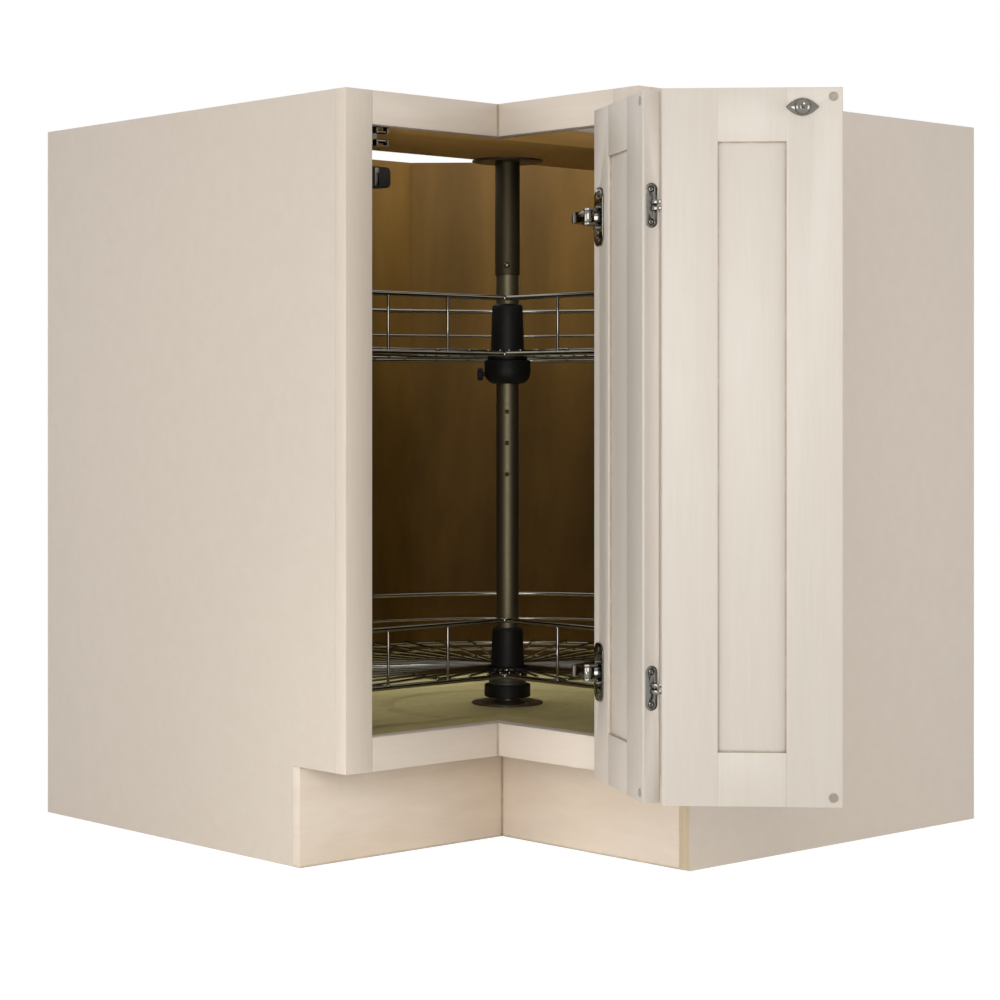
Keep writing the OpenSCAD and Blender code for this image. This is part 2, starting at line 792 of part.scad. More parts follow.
module right_leaf_top_rail() {
    color([0.87, 0.81, 0.73]) on_right_leaf() leaf_rail(leaf_z1 - leaf_rail_w, false);
}

module right_leaf_bottom_rail() {
    color([0.87, 0.81, 0.73]) on_right_leaf() leaf_rail(leaf_z0, true);
}

module right_leaf_panel() {
    color([0.85, 0.79, 0.71]) on_right_leaf() leaf_panel();
}

module left_leaf_free_stile() {
    color([0.87, 0.81, 0.73]) on_left_leaf() difference() {
        leaf_stile(leaf_x1 - member_w, false);
        strike_screw_points() translate([0, 0, -9]) cylinder(r = 1.05, h = 20);
    }
}

module left_leaf_fold_stile() {
    color([0.87, 0.81, 0.73]) on_left_leaf() difference() {
        leaf_stile(leaf_x0, true);
        fold_mortises();
    }
}

module left_leaf_top_rail() {
    color([0.87, 0.81, 0.73]) on_left_leaf() difference() {
        leaf_rail(leaf_z1 - leaf_rail_w, false);
        strike_screw_points() translate([0, 0, -9]) cylinder(r = 1.05, h = 20);
    }
}

module left_leaf_bottom_rail() {
    color([0.87, 0.81, 0.73]) on_left_leaf() leaf_rail(leaf_z0, true);
}

module left_leaf_panel() {
    color([0.85, 0.79, 0.71]) on_left_leaf() leaf_panel();
}

// ---- Door hardware ----

// Bumper discs near the top and bottom of a leaf at distance x
module bumpers(x) {
    for (z = [leaf_z0 + bumper_inset, leaf_z1 - bumper_inset])
        translate([x, leaf_y1, z]) rotate([-90, 0, 0]) cylinder(r = bumper_r, h = bumper_h);
}

module right_leaf_bumpers() {
    color([0.86, 0.86, 0.84]) on_right_leaf() bumpers(leaf_x0 + bumper_inset);
}

module left_leaf_bumpers() {
    color([0.86, 0.86, 0.84]) on_left_leaf() bumpers(leaf_x1 - bumper_inset);
}

// Outline of the cup's flange, with rounded corners
function flange_outline(r = 11) = [
    for (c = [[1, 1, 0], [-1, 1, 90], [-1, -1, 180], [1, -1, 270]]) for (a = [0 : 15 : 90])
        [c[0] * (flange_w / 2 - r) + r * cos(a + c[2]), c[1] * (flange_len / 2 - r) + r * sin(a + c[2])]
];

// Hinge cups: cup, flange, and a fork with its pin for the outer link
module hinge_cups() {
    fork_x = leaf_x1 - fork_inset;
    pin_y = leaf_y1 + fork_h;
    color([0.78, 0.78, 0.80]) on_right_leaf() for (z = hinge_zs) {
        difference() {
            union() {
                translate([cup_x, leaf_y1, z]) rotate([90, 0, 0]) cylinder(r = cup_r, h = cup_d);
                translate([cup_x, leaf_y1, z]) rotate([-90, 0, 0])
                    linear_extrude(flange_t) polygon(flange_outline());
            }
            translate([cup_x, leaf_y1 + flange_t + 1, z]) rotate([90, 0, 0])
                cylinder(r = cup_r - 1.6, h = cup_d + flange_t);
            cup_screw_points(z) translate([0, 0, -5]) cylinder(r = 1.8, h = 10);
        }
        for (s = [-1, 1]) translate([0, 0, z + s * (ear_z0 + ear_z1) / 2 - plate_t / 2]) {
            translate([fork_x, pin_y, 0]) cylinder(r = eye_r, h = plate_t);
            slab([fork_x - eye_r + 0.8, leaf_y1 - cup_d + 0.5, 0], [fork_x + eye_r - 0.8, pin_y, plate_t]);
        }
        translate([fork_x, pin_y, z - ear_z1]) cylinder(r = pin_r, h = 2 * ear_z1);
    }
}

// Flat bar with rounded ends between two plan points, from z0 to z1
module bar(a, b, r, z0, z1) {
    run = b - a;
    translate([a[0], a[1], z0]) rotate([0, 0, atan2(run[1], run[0])]) {
        cylinder(r = r, h = z1 - z0);
        translate([0, 0.8 - r, 0]) cube([norm(run), 2 * r - 1.6, z1 - z0]);
        translate([norm(run), 0, 0]) cylinder(r = r, h = z1 - z0);
    }
}

module hinge_inner_links() {
    color([0.74, 0.74, 0.76]) for (z = hinge_zs) translate([0, 0, z]) {
        for (s = [-1, 1]) translate([0, 0, s * (ear_z0 + ear_z1) / 2])
            bar(bracket_pin, elbow_now, eye_r, -plate_t / 2, plate_t / 2);
        for (p = [bracket_pin, elbow_now]) translate([p[0], p[1], -ear_z1])
            cylinder(r = pin_r, h = 2 * ear_z1);
    }
}

// Outer link: cranked clear of the bracket, with a bore for each pin
module hinge_outer_links() {
    color([0.70, 0.70, 0.72]) for (z = hinge_zs) translate([0, 0, z]) difference() {
        union() {
            bar(fork_now, fork_now + knee_v, eye_r, -link_half_h, link_half_h);
            bar(fork_now + knee_v, elbow_now, eye_r, -link_half_h, link_half_h);
        }
        for (p = [fork_now, elbow_now]) translate([p[0], p[1], -link_half_h - 1])
            cylinder(r = pin_r + run_gap, h = 2 * link_half_h + 2);
    }
}

bracket_y = -end_d + 1;                 // front edge of the bracket's plate
bracket_h = 20;                         // half height of the bracket's plate

// Places children on a bracket's two screw seats, +Z pointing off the stile's inner edge
module bracket_screw_points(z) {
    for (s = [-1, 1]) translate([stile_in - bracket_t, bracket_y + 9, z + s * 14])
        rotate([0, -90, 0]) children();
}

module hinge_brackets() {
    arm_y = -frame_in + 7;
    half = eye_r - 0.8;
    toe = bracket_pin + [half * 0.5, half * 0.87];
    heel = bracket_pin - [half * 0.5, half * 0.87];
    color([0.76, 0.76, 0.78]) for (z = hinge_zs) difference() {
        union() {
            slab([stile_in - bracket_t, bracket_y, z - bracket_h],
                 [stile_in, arm_y + eye_r + 1, z + bracket_h]);
            translate([bracket_pin[0], bracket_pin[1], z - link_half_h])
                cylinder(r = eye_r, h = 2 * link_half_h);
            translate([0, 0, z - link_half_h]) linear_extrude(2 * link_half_h) polygon([
                heel, [stile_in - bracket_t / 2, arm_y - half],
                [stile_in - bracket_t / 2, arm_y + half + 1], toe
            ]);
        }
        translate([bracket_pin[0], bracket_pin[1], z - link_half_h - 1])
            cylinder(r = pin_r + run_gap, h = 2 * link_half_h + 2);
        bracket_screw_points(z) translate([0, 0, -10]) cylinder(r = 2.05, h = 20);
    }
}

module bracket_screws() {
    color([0.55, 0.55, 0.57]) for (z = hinge_zs) bracket_screw_points(z) screw(2, bracket_t);
}

module right_fold_hinges() {
    color([0.75, 0.70, 0.62]) on_right_leaf() for (z = hinge_zs) {
        difference() {
            fold_pill(z, barrel_d, 0);
            fold_screws(z) {
                translate([0, 0, -20]) cylinder(r = 1.55, h = 30);
                cylinder(r = 3.3, h = 5);
            }
        }
        for (o = arc_offs) fold_arc(z + o, arc_r, arc_t, arc_h, 70, 122);
    }
}

module left_fold_hinges() {
    color([0.75, 0.70, 0.62]) on_left_leaf() for (z = hinge_zs) difference() {
        fold_pill(z, barrel_d, 0);
        for (o = arc_offs) fold_arc(z + o, arc_r, arc_t + 2 * side_gap, arc_h + 2 * side_gap, 40, 60);
        fold_screws(z) {
            translate([0, 0, -20]) cylinder(r = 1.55, h = 30);
            cylinder(r = 3.3, h = 5);
        }
    }
}

module right_leaf_screws() {
    color([0.62, 0.62, 0.64]) on_right_leaf() for (z = hinge_zs) {
        cup_screw_points(z) screw(1.75, 12, 1);
        fold_screws(z) screw(1.5, 25, 1.2);
    }
}

module left_leaf_screws() {
    color([0.62, 0.62, 0.64]) on_left_leaf() {
        for (z = hinge_zs) fold_screws(z) screw(1.5, 25, 1.2);
        strike_screw_points() screw(1, 8, 0.5);
    }
}

// ---- Catches ----

strike_x = leaf_x1 - strike_inset;
strike_t = 1.2;
bulb_off = end_d + door_gap - roller_x + 4.5;   // the bulb's middle stands behind the rollers

// Places children on the strike plate's screw seats, +Z pointing off the leaf
module strike_screw_points() {
    for (s = [-1, 1]) translate([strike_x + s * 12, leaf_y1 + strike_t, strike_z])
        rotate([-90, 0, 0]) children();
}

// Strike: an eye-shaped plate with a neck and a pointed head
module door_strike() {
    color([0.80, 0.80, 0.82]) on_left_leaf() {
        difference() {
            translate([strike_x, leaf_y1, strike_z]) rotate([-90, 0, 0]) linear_extrude(strike_t)
                polygon([for (t = [0 : 12 : 348]) [17 * cos(t), 9 * sin(t) * abs(sin(t))]]);
            strike_screw_points() translate([0, 0, -5]) cylinder(r = 1.05, h = 10);
        }
        translate([strike_x, leaf_y1, strike_z]) rotate([-90, 0, 0]) rotate_extrude() polygon([
            [0, 0.4], [3.2, 0.4], [3.2, strike_t + 0.6], [1.4, strike_t + 3], [1.4, bulb_off - 3.5],
            [2.3, bulb_off - 0.8], [2.3, bulb_off + 0.8], [0.8, bulb_off + 4.6], [0, bulb_off + 4.6]
        ]);
    }
}

// Housing of the roller catch under the brace: open at the front and at both ends
module catch_housing() {
    y0 = strike_y - roller_len / 2 - 3;
    y1 = strike_y + roller_len / 2 + 3;
    zt = brace_z0;
    zb = 2 * strike_z - brace_z0;
    back_x = roller_x - 19;
    lug_x = roller_x + 3.4;
    lug_h = brace_z0 - strike_z - roller_off + 1.6;
    color([0.62, 0.62, 0.64]) difference() {
        union() {
            slab([back_x, y0, zt - 1], [lug_x, y1, zt]);
            slab([back_x, y0, zb], [lug_x, y1, zb + 1]);
            slab([back_x, y0, zb], [back_x + 1.5, y1, zt]);
            for (y = [y0, y1 - 2.6]) for (s = [0, 1]) {
                z = s == 1 ? zt - lug_h : zb;
                slab([roller_x - 3.4, y, z], [lug_x, y + 2.6, z + lug_h]);
            }
        }
        for (s = [-1, 1]) translate([roller_x, y0 - 1, strike_z + s * roller_off]) rotate([-90, 0, 0])
            cylinder(r = 1 + run_gap, h = y1 - y0 + 2);
    }
}

// Roller with its journals, turning in the housing's lugs
module catch_roller(s) {
    translate([roller_x, strike_y, strike_z + s * roller_off]) rotate([90, 0, 0]) {
        cylinder(r = roller_r, h = roller_len, center = true);
        cylinder(r = 1, h = roller_len + 6, center = true);
    }
}

module catch_roller_upper() {
    color([0.85, 0.85, 0.87]) catch_roller(1);
}

module catch_roller_lower() {
    color([0.85, 0.85, 0.87]) catch_roller(-1);
}

// Magnetic catch on the left stile's inner edge: a dark case with a bright pole plate
module magnet_catch() {
    z = opening_z1 - magnet_drop;
    far = -stile_in + 30;
    color([0.20, 0.19, 0.18]) difference() {
        slab([frame_in - 3, -stile_in, z - 11.5], [end_d - 4, far, z + 11.5]);
        for (s = [-1, 1]) translate([frame_in, far, z + s * 11.5]) rotate([45, 0, 0])
            cube([60, 5, 5], center = true);
    }
    color([0.80, 0.80, 0.82])
        slab([end_d - 4, -stile_in + 6, z - 10], [end_d - 2.6, -stile_in + 12, z + 10]);
}

left_end_panel();
right_end_panel();
left_back_panel();
right_back_panel();
diagonal_back_panel();
floor_panel();
floor_cleats();
left_toe_board();
right_toe_board();
left_stile();
right_stile();
left_top_rail();
right_top_rail();
left_bottom_rail();
right_bottom_rail();
top_brace();
top_brace_strip();
nail_rails();
corner_blocks();
post_base_plate();
post_lower_tube();
post_upper_tube();
post_top_plate();
post_screws();
post_lock_screw();
upper_clamp_collar();
upper_collar_knob();
lower_clamp_collar();
lower_thrust_ring();
hinge_brackets();
bracket_screws();
catch_housing();
magnet_catch();
right_leaf_hinge_stile();
right_leaf_fold_stile();
right_leaf_top_rail();
right_leaf_bottom_rail();
right_leaf_panel();
hinge_cups();
right_fold_hinges();
right_leaf_bumpers();
right_leaf_screws();
left_leaf_free_stile();
left_leaf_fold_stile();
left_leaf_top_rail();
left_leaf_bottom_rail();
left_leaf_panel();
left_fold_hinges();
left_leaf_bumpers();
door_strike();
left_leaf_screws();
hinge_inner_links();
hinge_outer_links();
upper_shelf_frame();
upper_shelf_hub();
lower_shelf_frame();
lower_shelf_hub();
catch_roller_upper();
catch_roller_lower();
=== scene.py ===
"""Corner carousel cabinet: finishes, detailed pieces, camera, floor and light."""

import logging
import math
from dataclasses import dataclass, field
from enum import Enum
from typing import Callable, Dict, List, Optional, Sequence, Tuple, Union

import bmesh
import bpy
from mathutils import Matrix, Vector

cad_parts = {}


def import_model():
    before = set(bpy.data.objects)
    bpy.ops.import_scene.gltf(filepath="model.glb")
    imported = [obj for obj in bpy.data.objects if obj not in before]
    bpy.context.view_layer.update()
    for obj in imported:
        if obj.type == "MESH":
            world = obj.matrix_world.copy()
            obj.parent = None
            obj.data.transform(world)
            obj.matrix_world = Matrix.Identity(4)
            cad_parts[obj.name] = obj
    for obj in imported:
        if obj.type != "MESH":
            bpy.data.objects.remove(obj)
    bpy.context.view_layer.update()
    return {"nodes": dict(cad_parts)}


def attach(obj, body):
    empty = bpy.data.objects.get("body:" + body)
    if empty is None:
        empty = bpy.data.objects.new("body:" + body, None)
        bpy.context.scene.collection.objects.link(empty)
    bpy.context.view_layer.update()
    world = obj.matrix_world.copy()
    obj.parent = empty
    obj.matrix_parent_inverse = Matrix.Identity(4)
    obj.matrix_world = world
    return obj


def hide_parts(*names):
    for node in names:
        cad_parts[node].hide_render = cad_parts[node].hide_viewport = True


LOG = logging.getLogger("carousel_cabinet")
MM = 0.001
# Steps round a large turned piece
FINE_TURN = 96
Colour = Tuple[float, float, float]
Point = Tuple[float, float, float]
Pair = Tuple[float, float]
Socket = bpy.types.NodeSocket
Ring = List[bmesh.types.BMVert]
EdgeTest = Callable[[Vector, Vector], bool]
FaceTest = Callable[[bpy.types.MeshPolygon], int]


def shade(red: float, green: float, blue: float) -> Colour:
    """A colour written in 0 to 255 display values, as the linear values that a shader takes.

    Args:
        red: Display red.
        green: Display green.
        blue: Display blue.

    Returns:
        The linear colour.
    """

    def linear(value: float) -> float:
        """One display value as a linear one."""
        v = value / 255.0
        return v / 12.92 if v <= 0.04045 else ((v + 0.055) / 1.055) ** 2.4

    return (linear(red), linear(green), linear(blue))


def points(radius: float, height: float, *pairs: Pair) -> List[Pair]:
    """Points of a turned outline, written in millimetres from a radius and a height.

    Args:
        radius: Radius in metres from which the first numbers count.
        height: Height in metres from which the second numbers count.
        pairs: The points.

    Returns:
        The points in metres.
    """
    return [(radius + across * MM, height + up * MM) for across, up in pairs]


def turned(degrees: float, axis: str) -> Matrix:
    """A turn about the local axis of that name."""
    return Matrix.Rotation(math.radians(degrees), 4, axis)


def moved(x: float, y: float, z: float) -> Matrix:
    """A move along the local axes."""
    return Matrix.Translation((x, y, z))


# ---------------------------------------------------------------------------
# Shared shader effects
# ---------------------------------------------------------------------------


class ShaderSheet:
    """Adds and joins the nodes of one tree."""

    # Places of the factor and the two colours among the inputs of a colour mix, and of its result
    MIX_INPUTS = (0, 6, 7)
    MIX_RESULT = 2

    def __init__(self, tree: bpy.types.NodeTree) -> None:
        """Keeps the tree."""
        self.tree = tree

    def add(self, kind: str, **settings: object) -> bpy.types.Node:
        """Adds a node.

        Args:
            kind: Its type, without the prefix that all shader nodes have.
            settings: Its properties.

        Returns:
            The node.
        """
        node = self.tree.nodes.new("ShaderNode" + kind)
        for name, value in settings.items():
            setattr(node, name, value)
        return node

    def feed(self, into: Socket, value: object) -> None:
        """Joins an input to a socket, or sets its own value.

        Args:
            into: The input.
            value: A socket or a plain value.
        """
        if isinstance(value, bpy.types.NodeSocket):
            self.tree.links.new(value, into)
        else:
            into.default_value = value

    def math(self, kind: str, *values: Union[Socket, float]) -> Socket:
        """The result of a maths node.

        Args:
            kind: Its operation.
            values: Sockets or numbers, in the order of its inputs.

        Returns:
            Its result.
        """
        node = self.add("Math", operation=kind)
        for index, value in enumerate(values):
            self.feed(node.inputs[index], value)
        return node.outputs[0]

    def ramp(self, value: Socket, low: float, high: float) -> Socket:
        """A smooth step of a value between two limits.

        Args:
            value: The socket to map.
            low: Value that becomes 0.
            high: Value that becomes 1.

        Returns:
            The mapped socket.
        """
        node = self.add("MapRange", interpolation_type="SMOOTHSTEP")
        for name, given in (("From Min", low), ("From Max", high), ("Value", value)):
            self.feed(node.inputs[name], given)
        return node.outputs["Result"]

    def noise(self, vector: Socket, scale: float, detail: float, rough: float,
              twist: float = 0.0) -> Socket:
        """A noise texture.

        Args:
            vector: Its coordinates.
            scale: Its scale.
            detail: Its octaves.
            rough: Roughness of the octaves.
            twist: Its distortion.

        Returns:
            The noise value.
        """
        node = self.add("TexNoise")
        for name, given in (("Vector", vector), ("Scale", scale), ("Detail", detail),
                            ("Roughness", rough), ("Distortion", twist)):
            self.feed(node.inputs[name], given)
        return node.outputs[0]

    def blend(self, kind: str, factor: Socket, first: Union[Socket, Colour],
              second: Union[Socket, Colour]) -> Socket:
        """A mix of two colours.

        Args:
            kind: Blend type.
            factor: Share of the second colour.
            first: A socket or a colour.
            second: A socket or a colour.

        Returns:
            The mixed colour.
        """
        node = self.add("Mix", data_type="RGBA", blend_type=kind)
        for index, given in zip(self.MIX_INPUTS, (factor, first, second)):
            self.feed(node.inputs[index], (*given, 1.0) if isinstance(given, tuple) else given)
        return node.outputs[self.MIX_RESULT]


class Effect(Enum):
    """The surface effects that finishes share, each one node group."""

    GRAIN = "wood_grain"
    MOTTLE = "tone_mottle"
    CREVICE = "crevice_shade"
    BRUSHED = "brushed_lines"
    PEBBLE = "moulded_pebble"
    WEAVE = "foil_weave"


# For each effect, its output that mixes the two tones of a finish and the one that is its relief
TONE_AND_RELIEF: Dict[Effect, Tuple[str, str]] = {
    Effect.GRAIN: ("Figure", "Height"),
    Effect.MOTTLE: ("Mask", "Fine"),
    Effect.CREVICE: ("Mask", "Mask"),
    Effect.BRUSHED: ("Smudge", "Lines"),
    Effect.PEBBLE: ("Dust", "Height"),
    Effect.WEAVE: ("Thread", "Height"),
}


class EffectLibrary:
    """Builds each shared node group once and places it in materials."""

    # How far from an inner corner the painted shade reaches, and how closely it is looked for
    CREVICE_REACH = 3.5 * MM
    CREVICE_SAMPLES = 6
    # Fineness of the ribs in the foil of the end panels
    FOIL_RIBS = 95.0

    def __init__(self) -> None:
        """Makes every group."""
        self.groups: Dict[Effect, bpy.types.NodeTree] = {
            Effect.GRAIN: self._grain(),
            Effect.MOTTLE: self._mottle(),
            Effect.CREVICE: self._crevice(),
            Effect.BRUSHED: self._brushed(),
            Effect.PEBBLE: self._pebble(),
            Effect.WEAVE: self._weave(),
        }

    @staticmethod
    def _start(effect: Effect, stretch: Point) -> Tuple[ShaderSheet, Socket]:
        """Starts a group that has one input, its stretch along each axis.

        Args:
            effect: Which effect it is.
            stretch: The input's first value.

        Returns:
            The group's sheet and the object's coordinates times the stretch.
        """
        tree = bpy.data.node_groups.new(effect.value, "ShaderNodeTree")
        opening = tree.interface.new_socket(name="Stretch", in_out="INPUT",
                                            socket_type="NodeSocketVector")
        opening.default_value = stretch
        sheet = ShaderSheet(tree)
        times = sheet.add("VectorMath", operation="MULTIPLY")
        sheet.feed(times.inputs[0], sheet.add("TexCoord").outputs["Object"])
        sheet.feed(times.inputs[1], tree.nodes.new("NodeGroupInput").outputs["Stretch"])
        return sheet, times.outputs[0]

    @staticmethod
    def _finish(sheet: ShaderSheet, outputs: Dict[str, Socket]) -> bpy.types.NodeTree:
        """Ends a group with its outputs, all plain values.

        Args:
            sheet: The group's sheet.
            outputs: What each output puts out.

        Returns:
            The group's tree.
        """
        for name in outputs:
            sheet.tree.interface.new_socket(name=name, in_out="OUTPUT",
                                            socket_type="NodeSocketFloat")
        out = sheet.tree.nodes.new("NodeGroupOutput")
        for name, value in outputs.items():
            sheet.feed(out.inputs[name], value)
        return sheet.tree

    def _grain(self) -> bpy.types.NodeTree:
        """Wood figure: broad bands, fine fibres and short pores along the stretch.

        Returns:
            The group's tree.
        """
        sheet, vector = self._start(Effect.GRAIN, (30.0, 30.0, 2.5))
        broad = sheet.noise(vector, scale=0.55, detail=4.0, rough=0.55, twist=1.4)
        fibre = sheet.noise(vector, scale=7.0, detail=7.0, rough=0.65, twist=0.3)
        pores = sheet.noise(vector, scale=16.0, detail=2.0, rough=0.5)
        return self._finish(sheet, {
            "Figure": sheet.ramp(broad, 0.32, 0.68),
            "Fibre": sheet.ramp(fibre, 0.3, 0.72),
            "Height": sheet.math("ADD", fibre, sheet.ramp(pores, 0.3, 0.42)),
        })

    def _mottle(self) -> bpy.types.NodeTree:
        """Slow drift of tone over a surface.

        Returns:
            The group's tree.
        """
        sheet, vector = self._start(Effect.MOTTLE, (3.0, 3.0, 3.0))
        slow = sheet.noise(vector, scale=1.0, detail=3.0, rough=0.5, twist=0.4)
        fine = sheet.noise(vector, scale=14.0, detail=3.0, rough=0.6)
        return self._finish(sheet, {
            "Mask": sheet.ramp(slow, 0.3, 0.7),
            "Fine": sheet.ramp(fine, 0.3, 0.7),
        })

    def _crevice(self) -> bpy.types.NodeTree:
        """Painted shade that darkens inner corners and joints, found by occlusion and made patchy.

        Returns:
            The group's tree.
        """
        sheet, vector = self._start(Effect.CREVICE, (60.0, 60.0, 60.0))
        patch = sheet.noise(vector, scale=1.0, detail=3.0, rough=0.6)
        # Painted shade: occlusion marks where other surfaces close the surface in, and that part is
        # darkened
        corner = sheet.add("AmbientOcclusion", samples=self.CREVICE_SAMPLES)
        sheet.feed(corner.inputs["Distance"], self.CREVICE_REACH)
        shut = sheet.ramp(corner.outputs["AO"], 0.92, 0.45)
        uneven = sheet.ramp(patch, 0.05, 0.6)
        return self._finish(sheet, {"Mask": sheet.math("MULTIPLY", shut, uneven)})

    def _brushed(self) -> bpy.types.NodeTree:
        """Fine drawn lines of worked metal.

        Returns:
            The group's tree.
        """
        sheet, vector = self._start(Effect.BRUSHED, (900.0, 900.0, 20.0))
        lines = sheet.noise(vector, scale=1.0, detail=3.0, rough=0.6)
        smudge = sheet.noise(vector, scale=0.04, detail=3.0, rough=0.6, twist=0.5)
        return self._finish(sheet, {"Lines": lines, "Smudge": sheet.ramp(smudge, 0.35, 0.65)})

    def _pebble(self) -> bpy.types.NodeTree:
        """Spark-eroded texture of moulded plastic.

        Returns:
            The group's tree.
        """
        sheet, vector = self._start(Effect.PEBBLE, (1800.0, 1800.0, 1800.0))
        cells = sheet.add("TexVoronoi", feature="SMOOTH_F1")
        sheet.feed(cells.inputs["Scale"], 1.0)
        sheet.feed(cells.inputs["Vector"], vector)
        dust = sheet.noise(vector, scale=0.02, detail=4.0, rough=0.7)
        return self._finish(sheet, {
            "Height": cells.outputs["Distance"],
            "Dust": sheet.ramp(dust, 0.45, 0.7),
        })

    def _weave(self) -> bpy.types.NodeTree:
        """Crossed fine ribs of the foil on the end panels.

        Returns:
            The group's tree.
        """
        sheet, vector = self._start(Effect.WEAVE, (1.0, 1.0, 1.0))
        ribs = []
        for direction in ("Z", "DIAGONAL"):
            wave = sheet.add("TexWave", bands_direction=direction)
            for name, given in (("Scale", self.FOIL_RIBS), ("Distortion", 1.6), ("Detail", 2.0),
                                ("Vector", vector)):
                sheet.feed(wave.inputs[name], given)
            ribs.append(wave.outputs["Fac"])
        slub = sheet.noise(vector, scale=60.0, detail=3.0, rough=0.6)
        return self._finish(sheet, {
            "Height": sheet.math("MULTIPLY", sheet.math("ADD", *ribs), 0.5),
            "Thread": sheet.ramp(slub, 0.35, 0.65),
        })

    def place(self, sheet: ShaderSheet, effect: Effect, stretch: Point) -> bpy.types.Node:
        """Puts an effect in a material.

        Args:
            sheet: The material's sheet.
            effect: Which effect.
            stretch: Its scale along each axis.

        Returns:
            The group node.
        """
        node = sheet.add("Group", node_tree=self.groups[effect])
        sheet.feed(node.inputs["Stretch"], stretch)
        return node


# ---------------------------------------------------------------------------
# Finishes
# ---------------------------------------------------------------------------


class Coat(Enum):
    """Every finish of the cabinet, by the name of its material."""

    PAINTED_LEAF = "painted_leaf"
    PAINTED_FRAME = "painted_frame"
    PAINTED_RAIL = "painted_rail"
    PAINTED_TOE = "painted_toe"
    END_PANEL_LAMINATE = "end_panel_laminate"
    MAPLE_PLY = "maple_ply"
    MAPLE_SOLID = "maple_solid"
    BRACE_VARNISH = "brace_varnish"
    HARDBOARD_FLOOR = "hardboard_floor"
    RAW_PLY_EDGE = "raw_ply_edge"
    CHROME_WIRE = "chrome_wire"
    NICKEL_STEEL = "nickel_steel"
    ZINC_TUBE = "zinc_tube"
    ZINC_SLEEVE = "zinc_sleeve"
    BRONZE_PAINT = "bronze_paint"
    BLACK_MOULDING = "black_moulding"
    GREY_MOULDING = "grey_moulding"
    SCREW_STEEL = "screw_steel"
    CLEAR_BUMPER = "clear_bumper"


@dataclass(frozen=True)
class Finish:
    """A finish: two base tones, a surface effect and its sheen.

    Args:
        coat: Which finish it is.
        light: Main colour, linear.
        dark: Second colour, linear.
        stretch: Scale of the effect along each axis.
        effect: The effect that mixes the two colours and raises the surface.
        mix: How far the second colour shows where the effect is strongest.
        rough: Roughness where the surface is smooth.
        rough_more: Roughness added where the mottle is strongest.
        bump: Height of the effect's relief in metres.
        metal: Whether it is bare metal.
        coat_weight: Clear coat weight.
        coat_rough: Clear coat roughness.
        corner_shade: Colour of the painted shade laid in inner corners, or None.
        mottle: Scale of the slow tone drift.
        drift: How far the tone drifts.
        shine: Specular level of the bare surface.
        alpha: Opacity.
    """

    coat: Coat
    light: Colour
    dark: Colour
    stretch: Point
    effect: Effect = Effect.GRAIN
    mix: float = 0.5
    rough: float = 0.4
    rough_more: float = 0.1
    bump: float = 0.00002
    metal: bool = False
    coat_weight: float = 0.0
    coat_rough: float = 0.2
    # Colour of the painted shade in inner corners and joints, or None
    corner_shade: Optional[Colour] = None
    mottle: float = 3.0
    drift: float = 0.1
    shine: float = 0.5
    alpha: float = 1.0

    def colour(self, sheet: ShaderSheet, effects: EffectLibrary, main: bpy.types.Node,
               drift: bpy.types.Node) -> Socket:
        """The surface colour: two tones, fibres, a slow drift and painted shade in the corners.

        Args:
            sheet: The material's sheet.
            effects: The shared effects.
            main: The finish's own effect.
            drift: The mottle that the tone drifts by.

        Returns:
            The colour.
        """
        fibre_tone, fibre_share = (0.86, 0.83, 0.78), 0.8
        drift_tone = (0.80, 0.79, 0.77)
        shade_stretch = (60.0, 60.0, 60.0)
        amount = sheet.math("MULTIPLY", main.outputs[TONE_AND_RELIEF[self.effect][0]], self.mix)
        colour = sheet.blend("MIX", amount, self.light, self.dark)
        if self.effect is Effect.GRAIN:
            fibre = sheet.math("MULTIPLY", main.outputs["Fibre"], self.mix * fibre_share)
            colour = sheet.blend("MULTIPLY", fibre, colour, fibre_tone)
        slow = sheet.math("MULTIPLY", drift.outputs["Mask"], self.drift)
        colour = sheet.blend("MULTIPLY", slow, colour, drift_tone)
        # Painted shade: the corner colour goes where occlusion finds inner corners and joints
        if self.corner_shade is not None:
            crevice = effects.place(sheet, Effect.CREVICE, shade_stretch)
            colour = sheet.blend("MIX", crevice.outputs["Mask"], colour, self.corner_shade)
        return colour

    def make(self, effects: EffectLibrary) -> bpy.types.Material:
        """Builds the material.

        Args:
            effects: The shared effects.

        Returns:
            The material.
        """
        material = bpy.data.materials.new(self.coat.value)
        material.use_nodes = True
        sheet = ShaderSheet(material.node_tree)
        shader = material.node_tree.nodes["Principled BSDF"]
        main = effects.place(sheet, self.effect, self.stretch)
        drift = effects.place(sheet, Effect.MOTTLE,
                              (self.mottle, self.mottle, self.mottle * 0.7))
        rough = sheet.math("MULTIPLY_ADD", drift.outputs["Fine"], self.rough_more, self.rough)
        bump = sheet.add("Bump")
        sheet.feed(bump.inputs["Strength"], 1.0)
        sheet.feed(bump.inputs["Distance"], self.bump)
        sheet.feed(bump.inputs["Height"], main.outputs[TONE_AND_RELIEF[self.effect][1]])
        for name, value in (
            ("Base Color", self.colour(sheet, effects, main, drift)),
            ("Roughness", rough),
            ("Normal", bump.outputs["Normal"]),
            ("Metallic", 1.0 if self.metal else 0.0),
            ("Specular IOR Level", self.shine),
            ("Coat Weight", self.coat_weight),
            ("Coat Roughness", self.coat_rough),
            ("Alpha", self.alpha),
        ):
            sheet.feed(shader.inputs[name], value)
        return material


@dataclass(frozen=True)
class Paint(Finish):
    """Cream paint over wood, with painted shade darkening the joints and inner corners."""

    mix: float = 0.3
    rough: float = 0.36
    rough_more: float = 0.06
    coat_weight: float = 0.15
    coat_rough: float = 0.3
    # Colour of the painted shade in the joints and inner corners
    corner_shade: Optional[Colour] = shade(168, 152, 130)
    mottle: float = 9.0
    drift: float = 0.05


